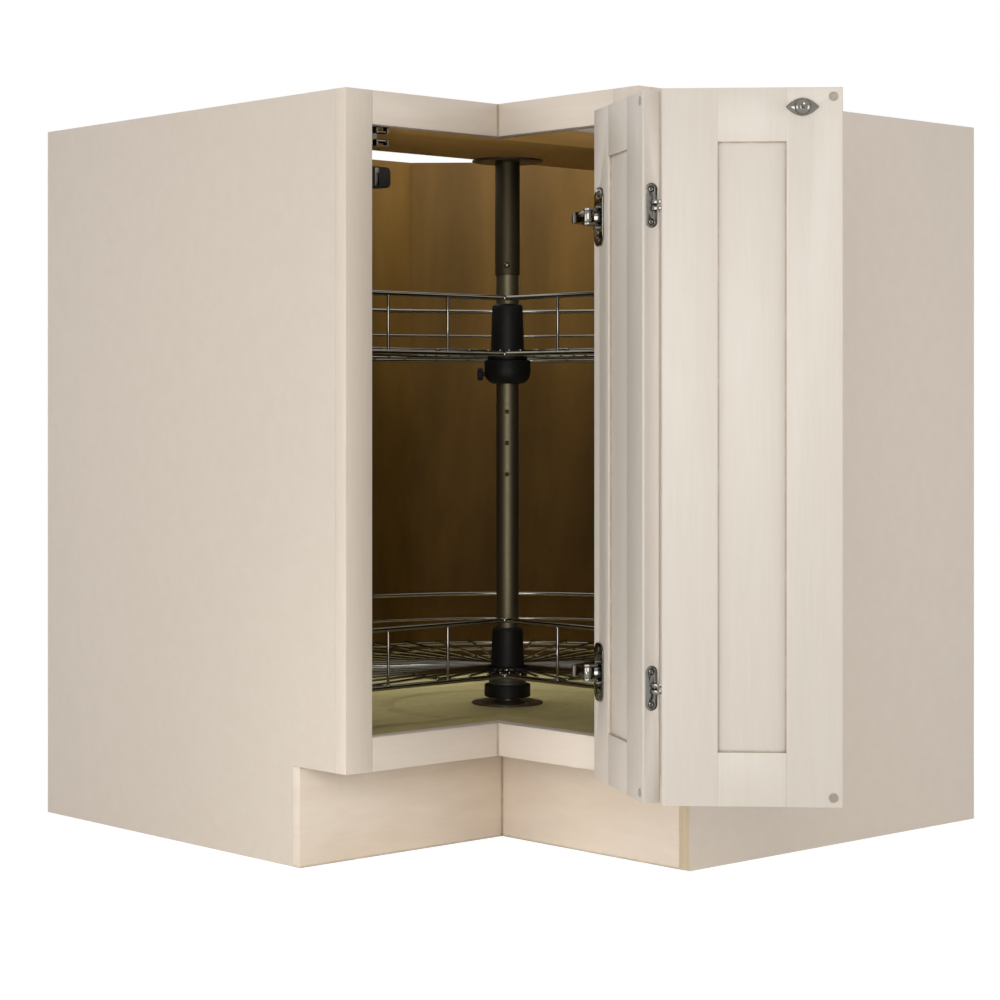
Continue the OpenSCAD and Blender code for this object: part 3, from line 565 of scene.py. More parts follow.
@dataclass(frozen=True)
class Metal(Finish):
    """Bare or plated metal."""

    effect: Effect = Effect.BRUSHED
    mix: float = 0.4
    rough_more: float = 0.06
    bump: float = 0.0000005
    metal: bool = True


@dataclass(frozen=True)
class Moulding(Finish):
    """Moulded plastic, or paint sprayed on a pressing."""

    effect: Effect = Effect.PEBBLE
    bump: float = 0.000008
    mottle: float = 30.0
    drift: float = 0.2


class FinishBook:
    """Every finish of the cabinet, made into materials once."""

    CREAM = (shade(224, 211, 196), shade(220, 206, 190))
    # Near-black painted shade for the inner corners of bright metal
    CORNER_SHADE_BLACK = (0.01, 0.009, 0.008)

    def __init__(self) -> None:
        """Makes all the materials."""
        effects = EffectLibrary()
        self.made: Dict[Coat, bpy.types.Material] = {}
        for finish in (*self.paints(), *self.woods(), *self.metals(), *self.mouldings()):
            self.made[finish.coat] = finish.make(effects)

    def paints(self) -> List[Finish]:
        """The painted finishes and the foil of the end panels.

        Returns:
            The finishes.
        """
        return [
            # The leaves' cream is the frame's paint toned darker: painted shade that offsets the
            # stronger light the leaves catch
            Paint(Coat.PAINTED_LEAF, shade(211, 202, 191), shade(208, 198, 186), (34, 34, 2.0),
                  rough=0.42, coat_weight=0.10, coat_rough=0.4, mottle=4.0, drift=0.02),
            Paint(Coat.PAINTED_FRAME, *self.CREAM, (26, 26, 2.6),
                  rough=0.38, coat_weight=0.12, coat_rough=0.35),
            Paint(Coat.PAINTED_RAIL, *self.CREAM, (2.6, 2.6, 26)),
            # The toe boards' cream is lighter and yellower than the frame's: partly their own tone,
            # partly painted light against the shade under the overhang
            Paint(Coat.PAINTED_TOE, shade(236, 222, 206), shade(228, 210, 188), (2.0, 2.0, 9),
                  mix=0.5, mottle=7.0, drift=0.10),
            Finish(Coat.END_PANEL_LAMINATE, shade(212, 200, 186), shade(208, 195, 180), (1, 1, 1),
                   Effect.WEAVE, mix=0.4, rough=0.46, rough_more=0.06, coat_weight=0.06,
                   coat_rough=0.4, mottle=2.2, drift=0.015),
        ]

    @staticmethod
    def woods() -> List[Finish]:
        """Veneer, solid wood, hardboard and the raw edge of plywood.

        Returns:
            The finishes.
        """
        return [
            Finish(Coat.MAPLE_PLY, shade(92, 65, 26), shade(64, 44, 14), (7, 7, 2.2),
                   mix=0.8, rough=0.50, rough_more=0.12, bump=0.00003, mottle=9.0, drift=0.5,
                   shine=0.1),
            Finish(Coat.MAPLE_SOLID, shade(214, 200, 168), shade(194, 178, 144), (20, 2.0, 20),
                   mix=0.6, rough=0.48, rough_more=0.12, bump=0.00003, mottle=6.0, drift=0.3,
                   shine=0.3),
            Finish(Coat.BRACE_VARNISH, shade(204, 158, 88), shade(184, 140, 76), (16, 1.2, 16),
                   mix=0.6, rough=0.42, rough_more=0.10, mottle=5.0, drift=0.25, shine=0.2),
            Finish(Coat.HARDBOARD_FLOOR, shade(180, 164, 112), shade(156, 138, 90), (6, 1.2, 6),
                   mix=0.7, rough=0.40, rough_more=0.12, mottle=5.0, drift=0.35, shine=0.3,
                   coat_weight=0.1, coat_rough=0.35),
            Finish(Coat.RAW_PLY_EDGE, shade(222, 206, 178), shade(204, 184, 150), (900, 4, 4),
                   mix=0.9, rough=0.7, bump=0.00005, mottle=20.0, drift=0.3),
        ]

    def metals(self) -> List[Finish]:
        """Wire, hinge steel, zinc and screws.

        Returns:
            The finishes.
        """
        return [
            Metal(Coat.CHROME_WIRE, (0.30, 0.285, 0.25), (0.22, 0.21, 0.18), (500, 500, 500),
                  mix=0.3, rough=0.11, bump=0.000001, mottle=30.0, drift=0.15),
            # Nickel steel takes near-black painted shade in its inner corners
            Metal(Coat.NICKEL_STEEL, (0.21, 0.20, 0.18), (0.15, 0.14, 0.125), (400, 400, 60),
                  rough=0.08, corner_shade=self.CORNER_SHADE_BLACK, mottle=60.0, drift=0.2),
            Metal(Coat.ZINC_TUBE, (0.17, 0.145, 0.090), (0.13, 0.110, 0.066), (300, 300, 10),
                  rough=0.50, mottle=20.0),
            Metal(Coat.ZINC_SLEEVE, (0.075, 0.062, 0.037), (0.060, 0.049, 0.028), (300, 300, 10),
                  rough=0.55, mottle=20.0),
            Metal(Coat.SCREW_STEEL, (0.24, 0.22, 0.19), (0.14, 0.13, 0.11), (900, 900, 900),
                  mix=0.5, rough=0.26, rough_more=0.12, bump=0.000001, mottle=90.0, drift=0.3),
        ]

    @staticmethod
    def mouldings() -> List[Finish]:
        """Painted plates, plastic collars and hubs, and the clear bumpers.

        Returns:
            The finishes.
        """
        return [
            Moulding(Coat.BRONZE_PAINT, shade(62, 50, 36), shade(44, 35, 26), (900, 900, 900),
                     rough=0.34, rough_more=0.14, bump=0.000005, coat_weight=0.3,
                     coat_rough=0.25, mottle=40.0, drift=0.3),
            Moulding(Coat.BLACK_MOULDING, shade(20, 19, 17), shade(28, 27, 24),
                     (1800, 1800, 1800), rough=0.50, shine=0.22),
            Moulding(Coat.GREY_MOULDING, shade(70, 68, 62), shade(54, 52, 47),
                     (1500, 1500, 1500), rough=0.42, rough_more=0.12),
            Moulding(Coat.CLEAR_BUMPER, shade(224, 216, 206), shade(214, 206, 194),
                     (1200, 1200, 1200), mix=0.3, rough=0.22, rough_more=0.08, bump=0.000005,
                     coat_weight=0.4, coat_rough=0.1, mottle=80.0, drift=0.1, alpha=0.3),
        ]

    def __getitem__(self, coat: Coat) -> bpy.types.Material:
        """The material of a finish."""
        return self.made[coat]


# ---------------------------------------------------------------------------
# Mesh making
# ---------------------------------------------------------------------------


class Form:
    """A mesh under construction, in metres, in the shared frame."""

    # A turned radius below this is a point on the axis
    ON_AXIS = 1e-9
    # A wire's sideways direction shorter than this shows that the wire stands upright
    UPRIGHT = 1e-4
    # Heights of the rings of a wire's domed end, and how flat the dome is
    DOME_STEPS = (0.55, 0.9)
    DOME_FLAT = 0.6
    DOME_TIP = 0.66

    def __init__(self) -> None:
        """Starts empty."""
        self.bm = bmesh.new()

    def ring(self, spots: Sequence[Vector]) -> Ring:
        """New vertices at the given spots."""
        return [self.bm.verts.new(spot) for spot in spots]

    def skin(self, rings: Sequence[Ring], closed: bool = False) -> None:
        """Covers the space between neighbouring rings.

        Args:
            rings: Rings of equal length.
            closed: Whether the last ring joins the first.
        """
        count = len(rings)
        for i in range(count if closed else count - 1):
            a, b = rings[i], rings[(i + 1) % count]
            for j in range(len(a)):
                k = (j + 1) % len(a)
                self.bm.faces.new((a[j], a[k], b[k], b[j]))

    def lathe(self, profile: Sequence[Pair], place: Matrix, segments: int = 64,
              ripple: Optional[Callable[[float, float], float]] = None) -> "Form":
        """Adds a turned shape.

        Args:
            profile: Radius and height pairs from one end to the other. A zero radius closes it.
            place: Puts the turning axis, local Z, in the shared frame.
            segments: Steps round the axis.
            ripple: Extra radius by angle and height, or None.

        Returns:
            This form.
        """
        turns = [2 * math.pi * s / segments for s in range(segments)]
        rings = []
        for radius, height in profile:
            if radius <= self.ON_AXIS:
                rings.append(self.ring([place @ Vector((0, 0, height))]))
                continue
            spots = []
            for angle in turns:
                r = radius + (ripple(angle, height) if ripple else 0.0)
                spots.append(place @ Vector((r * math.cos(angle), r * math.sin(angle), height)))
            rings.append(self.ring(spots))
        for a, b in zip(rings, rings[1:]):
            if len(a) > 1 and len(b) > 1:
                self.skin([a, b])
                continue
            for s in range(segments if len(a) + len(b) > 2 else 0):
                t = (s + 1) % segments
                self.bm.faces.new((a[0], b[t], b[s]) if len(a) == 1 else (a[s], a[t], b[0]))
        return self

    @staticmethod
    def around(at: Vector, across: Vector, up: Vector, radius: float, sides: int) -> List[Vector]:
        """Spots round a wire's centre line.

        Args:
            at: Point of the centre line.
            across: First direction square to the wire.
            up: Second direction square to the wire.
            radius: Distance from the centre line.
            sides: Number of spots.

        Returns:
            The spots.
        """
        turns = [2 * math.pi * j / sides for j in range(sides)]
        return [at + (across * math.cos(t) + up * math.sin(t)) * radius for t in turns]

    def wire(self, path: Sequence[Vector], radius: float, closed: bool = False,
             sides: int = 12) -> "Form":
        """Adds a round wire along a path, with domed ends where it is open.

        Args:
            path: Points of its centre line.
            radius: Wire radius.
            closed: Whether it is a loop.
            sides: Steps round the wire.

        Returns:
            This form.
        """
        count = len(path)
        side = None
        frames = []
        for i, point in enumerate(path):
            before = path[(i - 1) % count] if closed or i else path[0]
            after = path[(i + 1) % count] if closed or i < count - 1 else path[-1]
            ahead = (after - before).normalized()
            if side is None:
                side = ahead.cross(Vector((0, 0, 1)))
                if side.length < self.UPRIGHT:
                    side = ahead.cross(Vector((0, 1, 0)))
            side = (side - ahead * side.dot(ahead)).normalized()
            frames.append((point, ahead, side.copy(), ahead.cross(side)))
        rings = [self.ring(self.around(point, across, up, radius, sides))
                 for point, ahead, across, up in frames]
        self.skin(rings, closed)
        if not closed:
            self.dome(frames[0], rings[0], -1, radius)
            self.dome(frames[-1], rings[-1], 1, radius)
        return self

    def dome(self, end: Tuple[Vector, Vector, Vector, Vector], last: Ring, sign: int,
             radius: float) -> None:
        """Closes a wire's end with a low dome.

        Args:
            end: The end's centre, its direction and the two directions square to it.
            last: The wire's last ring.
            sign: 1 at the far end, -1 at the near end.
            radius: Wire radius.
        """
        point, ahead, across, up = end
        sides = len(last)
        for step in self.DOME_STEPS:
            centre = point + ahead * sign * radius * step * self.DOME_FLAT
            fresh = self.ring(self.around(centre, across, up,
                                          radius * math.cos(math.asin(step)), sides))
            self.skin([last, fresh] if sign > 0 else [fresh, last])
            last = fresh
        tip = self.bm.verts.new(point + ahead * sign * radius * self.DOME_TIP)
        for j in range(sides):
            k = (j + 1) % sides
            self.bm.faces.new((last[j], last[k], tip) if sign > 0 else (last[k], last[j], tip))

    def bead(self, centre: Vector, radius: float, flat: float) -> "Form":
        """Adds a small weld bead.

        Args:
            centre: Its centre.
            radius: Its radius.
            flat: Its height as a share of its width.

        Returns:
            This form.
        """
        steps, segments = 6, 10
        turns = [math.pi * k / steps for k in range(steps + 1)]
        profile = [(radius * math.sin(t), -radius * flat * math.cos(t)) for t in turns]
        return self.lathe(profile, Matrix.Translation(centre), segments)

    def block(self, low: Point, high: Point, place: Matrix) -> "Form":
        """Adds a block.

        Args:
            low: Its lowest corner.
            high: Its highest corner.
            place: Puts the local frame in the shared frame.

        Returns:
            This form.
        """
        a, b = Vector(low), Vector(high)
        size = Matrix.Diagonal((*(b - a), 1.0))
        middle = Matrix.Translation((a + b) / 2)
        bmesh.ops.create_cube(self.bm, size=1.0, matrix=place @ middle @ size)
        return self

    def stack(self, layers: Sequence[Sequence[Vector]]) -> "Form":
        """Adds a solid through layers of spots, with a flat face at each end.

        Args:
            layers: Layers of equal length, from the lowest to the highest.

        Returns:
            This form.
        """
        rings = [self.ring(layer) for layer in layers]
        self.skin(rings)
        self.bm.faces.new(list(reversed(rings[0])))
        self.bm.faces.new(rings[-1])
        return self

    def done(self, name: str, smooth_below: float = 35.0) -> bpy.types.Object:
        """Turns the form into an object.

        Args:
            name: The object's name.
            smooth_below: Edges flatter than this angle in degrees shade smooth.

        Returns:
            The object.
        """
        bmesh.ops.recalc_face_normals(self.bm, faces=self.bm.faces)
        return stood(self.bm, name, smooth_below)


def stood(work: bmesh.types.BMesh, name: str, smooth_below: float) -> bpy.types.Object:
    """Puts a finished mesh in the scene as an object.

    Args:
        work: The mesh, which is used up.
        name: The object's name.
        smooth_below: Edges flatter than this angle in degrees shade smooth.

    Returns:
        The object.
    """
    mesh = bpy.data.meshes.new(name)
    work.to_mesh(mesh)
    work.free()
    made = bpy.data.objects.new(name, mesh)
    bpy.context.scene.collection.objects.link(made)
    smooth_by_angle(made, smooth_below)
    return made


def smooth_by_angle(piece: bpy.types.Object, degrees: float) -> None:
    """Shades a piece smooth except across edges sharper than an angle.

    Args:
        piece: The piece.
        degrees: The angle.
    """
    mesh = piece.data
    for polygon in mesh.polygons:
        polygon.use_smooth = True
    work = bmesh.new()
    work.from_mesh(mesh)
    limit = math.radians(degrees)
    for edge in work.edges:
        edge.smooth = len(edge.link_faces) != 2 or edge.calc_face_angle(0.0) < limit
    work.to_mesh(mesh)
    work.free()


def cut_out(piece: bpy.types.Object, cutter: bpy.types.Object) -> None:
    """Cuts one form out of another and throws the cutter away.

    Args:
        piece: What is cut.
        cutter: What is cut out of it.
    """
    cut = piece.modifiers.new("hole", "BOOLEAN")
    cut.operation, cut.solver, cut.object = "DIFFERENCE", "EXACT", cutter
    graph = bpy.context.evaluated_depsgraph_get()
    mesh = bpy.data.meshes.new_from_object(piece.evaluated_get(graph))
    piece.modifiers.clear()
    piece.data = mesh
    bpy.data.objects.remove(cutter)


def arrises(work: bmesh.types.BMesh) -> List[bmesh.types.BMEdge]:
    """The edges of a mesh at which two faces meet sharply.

    Args:
        work: The mesh.

    Returns:
        The edges.
    """
    sharp = math.radians(38)
    return [e for e in work.edges
            if e.is_valid and len(e.link_faces) == 2 and e.calc_face_angle(0.0) > sharp]


def break_edges(work: bmesh.types.BMesh, edges: Sequence[bmesh.types.BMEdge], width: float,
                segments: int) -> None:
    """Rounds edges of a mesh.

    Args:
        work: The mesh.
        edges: The edges.
        width: Width of the rounding.
        segments: Steps across it.
    """
    if edges and width > 0:
        bmesh.ops.bevel(work, geom=edges, offset=width, segments=segments, profile=0.5,
                        affect="EDGES", clamp_overlap=True)


def eased(node: bpy.types.Object, small: float, wide: float = 0.0,
          wide_edges: Optional[EdgeTest] = None) -> bpy.types.Object:
    """A copy of a node's solid with broken arrises, to stand in its place.

    Args:
        node: The CAD node.
        small: Width of the ordinary arris in metres.
        wide: Width of the chosen arrises.
        wide_edges: Tells by an edge's two ends whether it is a chosen one.

    Returns:
        The new object.
    """
    weld_first, weld_last = 5e-6, 2e-6
    flat_below, smooth_below = 0.4, 32.0
    work = bmesh.new()
    work.from_mesh(node.data)
    bmesh.ops.remove_doubles(work, verts=work.verts, dist=weld_first)
    bmesh.ops.dissolve_limit(work, angle_limit=math.radians(flat_below), verts=work.verts,
                             edges=work.edges)
    if wide_edges is not None:
        chosen = [e for e in arrises(work) if wide_edges(e.verts[0].co, e.verts[1].co)]
        break_edges(work, chosen, wide, 5)
    break_edges(work, arrises(work), small, 2)
    bmesh.ops.remove_doubles(work, verts=work.verts, dist=weld_last)
    return stood(work, node.name + "_eased", smooth_below)


# ---------------------------------------------------------------------------
# The cabinet's own sizes, in metres
# ---------------------------------------------------------------------------


@dataclass(frozen=True)
class Sizes:
    """Main sizes, the same as the solids have.

    Args:
        toe_h: Height of the toe notch.
        face: Plane of both front faces.
        stile_edge: Inner edge of the stiles.
        post_at: Distance of the post from each wall.
        leaf_t: Thickness of the leaves.
        fold: Fold line of the closed doors.
        fold_gap: Gap between the fold line and each leaf.
        leaf_w: Width of the leaves.
        leaf_low: Lower end of the leaves.
        leaf_high: Upper end of the leaves.
        hinge_inset: Distance of each hinge from the leaf's end.
        swing_out: Distance of the swing axis beyond the right leaf's edge.
        swing_front: Distance of the swing axis in front of the fold line.
        swing_open: How far the doors stand open, in degrees.
        fold_open: How far the left leaf stands from flat against the right one, in degrees.
        strike_inset: Distance of the strike from the left leaf's outer edge.
        strike_drop: Distance of the strike below the leaf's upper end.
    """

    toe_h: float = 114.3 * MM
    face: float = 609.6 * MM
    stile_edge: float = 800.1 * MM
    post_at: float = 412.0 * MM
    leaf_t: float = 19.05 * MM
    fold: float = 630.65 * MM
    fold_gap: float = 0.8 * MM
    leaf_w: float = 184.15 * MM
    leaf_low: float = 114.9 * MM
    leaf_high: float = 847.3 * MM
    hinge_inset: float = 118.0 * MM
    swing_out: float = 1.2 * MM
    swing_front: float = 0.5 * MM
    swing_open: float = 151.0
    fold_open: float = -17.0
    strike_inset: float = 41.0 * MM
    strike_drop: float = 20.0 * MM

    @property
    def leaf_x0(self) -> float:
        """Fold edge of the closed leaves."""
        return self.fold + self.fold_gap

    @property
    def leaf_x1(self) -> float:
        """Outer edge of the closed leaves."""
        return self.leaf_x0 + self.leaf_w

    @property
    def leaf_back(self) -> float:
        """Back face of the closed right leaf, along Y."""
        return -self.fold + self.leaf_t

    @property
    def strike_x(self) -> float:
        """Where the strike sits across the leaf."""
        return self.leaf_x1 - self.strike_inset

    @property
    def strike_z(self) -> float:
        """Height of the strike."""
        return self.leaf_high - self.strike_drop

    @property
    def hinge_levels(self) -> Pair:
        """Heights of the door hinges."""
        return (self.leaf_low + self.hinge_inset, self.leaf_high - self.hinge_inset)

    def right_leaf(self) -> Matrix:
        """Carries a point of the closed right leaf to where the open leaf is.

        Returns:
            The move.
        """
        axis = Vector((self.leaf_x1 + self.swing_out, -self.fold - self.swing_front, 0))
        return Matrix.Translation(axis) @ turned(self.swing_open, "Z") @ Matrix.Translation(-axis)

    def left_leaf(self) -> Matrix:
        """Carries a point drawn on the closed right leaf to its twin on the open left leaf.

        Returns:
            The move.
        """
        line = Vector((self.fold, -self.fold, 0))
        swap = Matrix(((0, -1, 0, 0), (-1, 0, 0, 0), (0, 0, 1, 0), (0, 0, 0, 1)))
        folded = Matrix.Translation(line) @ turned(self.fold_open, "Z") @ Matrix.Translation(-line)
        return self.right_leaf() @ folded @ swap

    def on_back(self, carry: Matrix, x: float, z: float, lift: float = 0.0) -> Matrix:
        """A seat on a leaf's back face, with local Z pointing out of the face.

        Args:
            carry: Carries the closed leaf to the open one.
            x: Place across the closed leaf.
            z: Height.
            lift: Distance off the face.

        Returns:
            The seat.
        """
        return carry @ moved(x, self.leaf_back + lift, z) @ turned(-90, "X")


# ---------------------------------------------------------------------------
# Sub-assemblies
# ---------------------------------------------------------------------------


class Body(Enum):
    """The bodies of the frame that pieces ride on."""

    CABINET = "cabinet"
    RIGHT_LEAF = "right_leaf"
    LEFT_LEAF = "left_leaf"
    INNER_LINKS = "inner_links"
    OUTER_LINKS = "outer_links"
    UPPER_SHELF = "upper_shelf"
    LOWER_SHELF = "lower_shelf"
    UPPER_ROLLER = "upper_roller"
    LOWER_ROLLER = "lower_roller"


@dataclass(frozen=True)
class Piece:
    """A made piece and what it stands for.

    Args:
        made: The object.
        node: The CAD node that it stands for.
        body: The body that it moves with.
        finish: Its finish.
        slot: The record's material slot. Not used.
    """

    made: bpy.types.Object
    node: str
    body: Body
    finish: Coat
    slot: Coat


@dataclass
class SubAssembly:
    """Common work of the sub-assemblies: keeping, dressing and reporting their pieces.

    Args:
        nodes: CAD nodes by name.
        finishes: The materials.
        sizes: The cabinet's sizes.
        pieces: What has been made.
    """

    nodes: Dict[str, bpy.types.Object]
    finishes: FinishBook
    sizes: Sizes = field(default_factory=Sizes)
    pieces: List[Piece] = field(default_factory=list)

    def add(self, made: bpy.types.Object, node: str, body: Body, finish: Coat,
            slot: Optional[Coat] = None) -> None:
        """Keeps a made piece.

        Args:
            made: The object.
            node: The CAD node that it stands for.
            body: The body that it moves with.
            finish: Its finish.
            slot: The record's material slot, where it differs from the finish.
        """
        self.pieces.append(Piece(made, node, body, finish, slot or finish))

    def skins(self, node: str, finishes: Sequence[Coat], choose: FaceTest) -> None:
        """Gives the faces of a piece different finishes.

        Args:
            node: The CAD node that the piece stands for.
            finishes: Its finishes.
            choose: Tells for a face which of them it has.
        """
        mesh = next(piece.made for piece in self.pieces if piece.node == node).data
        for finish in finishes:
            mesh.materials.append(self.finishes[finish])
        for polygon in mesh.polygons:
            polygon.material_index = choose(polygon)

    def build(self) -> None:
        """Makes the meshes. Each sub-assembly has its own."""
        raise NotImplementedError

    def dress(self) -> None:
        """Gives each piece its finish and its body, and lets it stand for its node."""
        for piece in self.pieces:
            if not piece.made.data.materials:
                piece.made.data.materials.append(self.finishes[piece.finish])
            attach(piece.made, piece.body.value)
            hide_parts(piece.node)

    def report(self) -> None:
        """Names every piece that was made."""
        for piece in self.pieces:
            LOG.info("%s: %s, %d faces", type(self).__name__, piece.made.name,
                     len(piece.made.data.polygons))


@dataclass
class Carcass(SubAssembly):
    """End panels, backs, floor, toe boards, nail rails, cleats, corner blocks and brace.

    Args:
        board_arris: Broken arris of the boards.
        panel_arris: Broken arris of the end panels.
    """

    board_arris: float = 0.5 * MM
    panel_arris: float = 0.6 * MM

    def build(self) -> None:
        """Makes the panels and boards with broken arrises."""
        for node, finish, slot in (
            ("left_back_panel", Coat.MAPLE_PLY, None),
            ("right_back_panel", Coat.MAPLE_PLY, None),
            ("diagonal_back_panel", Coat.MAPLE_PLY, None),
            ("floor_panel", Coat.HARDBOARD_FLOOR, None),
            ("floor_cleats", Coat.MAPLE_SOLID, None),
            ("nail_rails", Coat.MAPLE_SOLID, None),
            ("corner_blocks", Coat.MAPLE_SOLID, None),
            ("left_toe_board", Coat.PAINTED_TOE, Coat.PAINTED_FRAME),
            ("right_toe_board", Coat.PAINTED_TOE, Coat.PAINTED_FRAME),
            ("top_brace", Coat.BRACE_VARNISH, Coat.MAPLE_SOLID),
            ("top_brace_strip", Coat.PAINTED_RAIL, Coat.MAPLE_SOLID),
        ):
            self.add(eased(self.nodes[node], self.board_arris), node, Body.CABINET, finish, slot)
        for node in ("left_end_panel", "right_end_panel"):
            self.add(eased(self.nodes[node], self.panel_arris), node, Body.CABINET,
                     Coat.END_PANEL_LAMINATE)

    def dress(self) -> None:
        """Gives the end panels foil outside, veneer inside and bare ply at the cut edges."""
        finishes = (Coat.END_PANEL_LAMINATE, Coat.MAPLE_PLY, Coat.RAW_PLY_EDGE)
        for node, inward in (("left_end_panel", Vector((0, 1, 0))),
                             ("right_end_panel", Vector((-1, 0, 0)))):
            self.skins(node, finishes, lambda face, inward=inward: self.panel_skin(face, inward))
        super().dress()

    def panel_skin(self, face: bpy.types.MeshPolygon, inward: Vector) -> int:
        """Which finish a face of an end panel has.

        Args:
            face: The face.
            inward: Direction of the panel's inner face.

        Returns:
            0 for foil, 1 for veneer, 2 for bare ply.
        """
        foil, veneer, ply = 0, 1, 2
        in_notch = face.center.z < self.sizes.toe_h - 0.1 * MM and face.normal.z > -0.5
        if face.normal.dot(inward) > 0.9:
            return veneer
        if abs(face.normal.dot(inward)) < 0.1 and in_notch:
            return ply
        return ply if abs(face.normal.z) > 0.9 else foil


@dataclass
class FaceFrame(SubAssembly):
    """Stiles and rails round the two door openings.

    Args:
        stile_arris: Broken arris of the stiles.
        rail_arris: Broken arris of the rails.
    """

    stile_arris: float = 0.7 * MM
    rail_arris: float = 0.6 * MM

    def build(self) -> None:
        """Makes the members, stiles with upright and rails with level grain."""
        for side in ("left", "right"):
            for part, arris, finish in (("_stile", self.stile_arris, Coat.PAINTED_FRAME),
                                        ("_top_rail", self.rail_arris, Coat.PAINTED_RAIL),
                                        ("_bottom_rail", self.rail_arris, Coat.PAINTED_RAIL)):
                node = side + part
                self.add(eased(self.nodes[node], arris), node, Body.CABINET, finish,
                         Coat.PAINTED_FRAME)


@dataclass(frozen=True)
class PhillipsScrew:
    """A pan-head screw with a cross recess.

    Args:
        head_r: Radius of its head.
        head_h: Height of its head.
        shank_r: Radius of its shank.
        length: Length below the head.
    """

    head_r: float
    head_h: float
    shank_r: float
    length: float

    def add(self, form: Form, place: Matrix) -> None:
        """Adds the screw's head, its cross and its shank.

        Args:
            form: The form that takes it.
            place: Puts the head's seat, local Z up, in the shared frame.
        """
        r, h, shank, length = self.head_r, self.head_h, self.shank_r, self.length
        hole, slot = r * 0.52, r * 0.07
        point = [(0, -length), (shank * 0.4, -length), (shank, -length * 0.8), (shank, 0)]
        head = [(r * 0.97, 0), (r, h * 0.2), (r * 0.93, h * 0.62), (r * 0.72, h * 0.92)]
        recess = [(hole, h), (hole * 0.9, h * 0.96), (hole * 0.55, h * 0.45), (0, h * 0.3)]
        form.lathe(point + head + recess, place, 32)
        for angle in (20.0, 110.0):
            form.block((-hole * 0.92, -slot, h * 0.34), (hole * 0.92, slot, h * 0.5),
                       place @ turned(angle, "Z"))


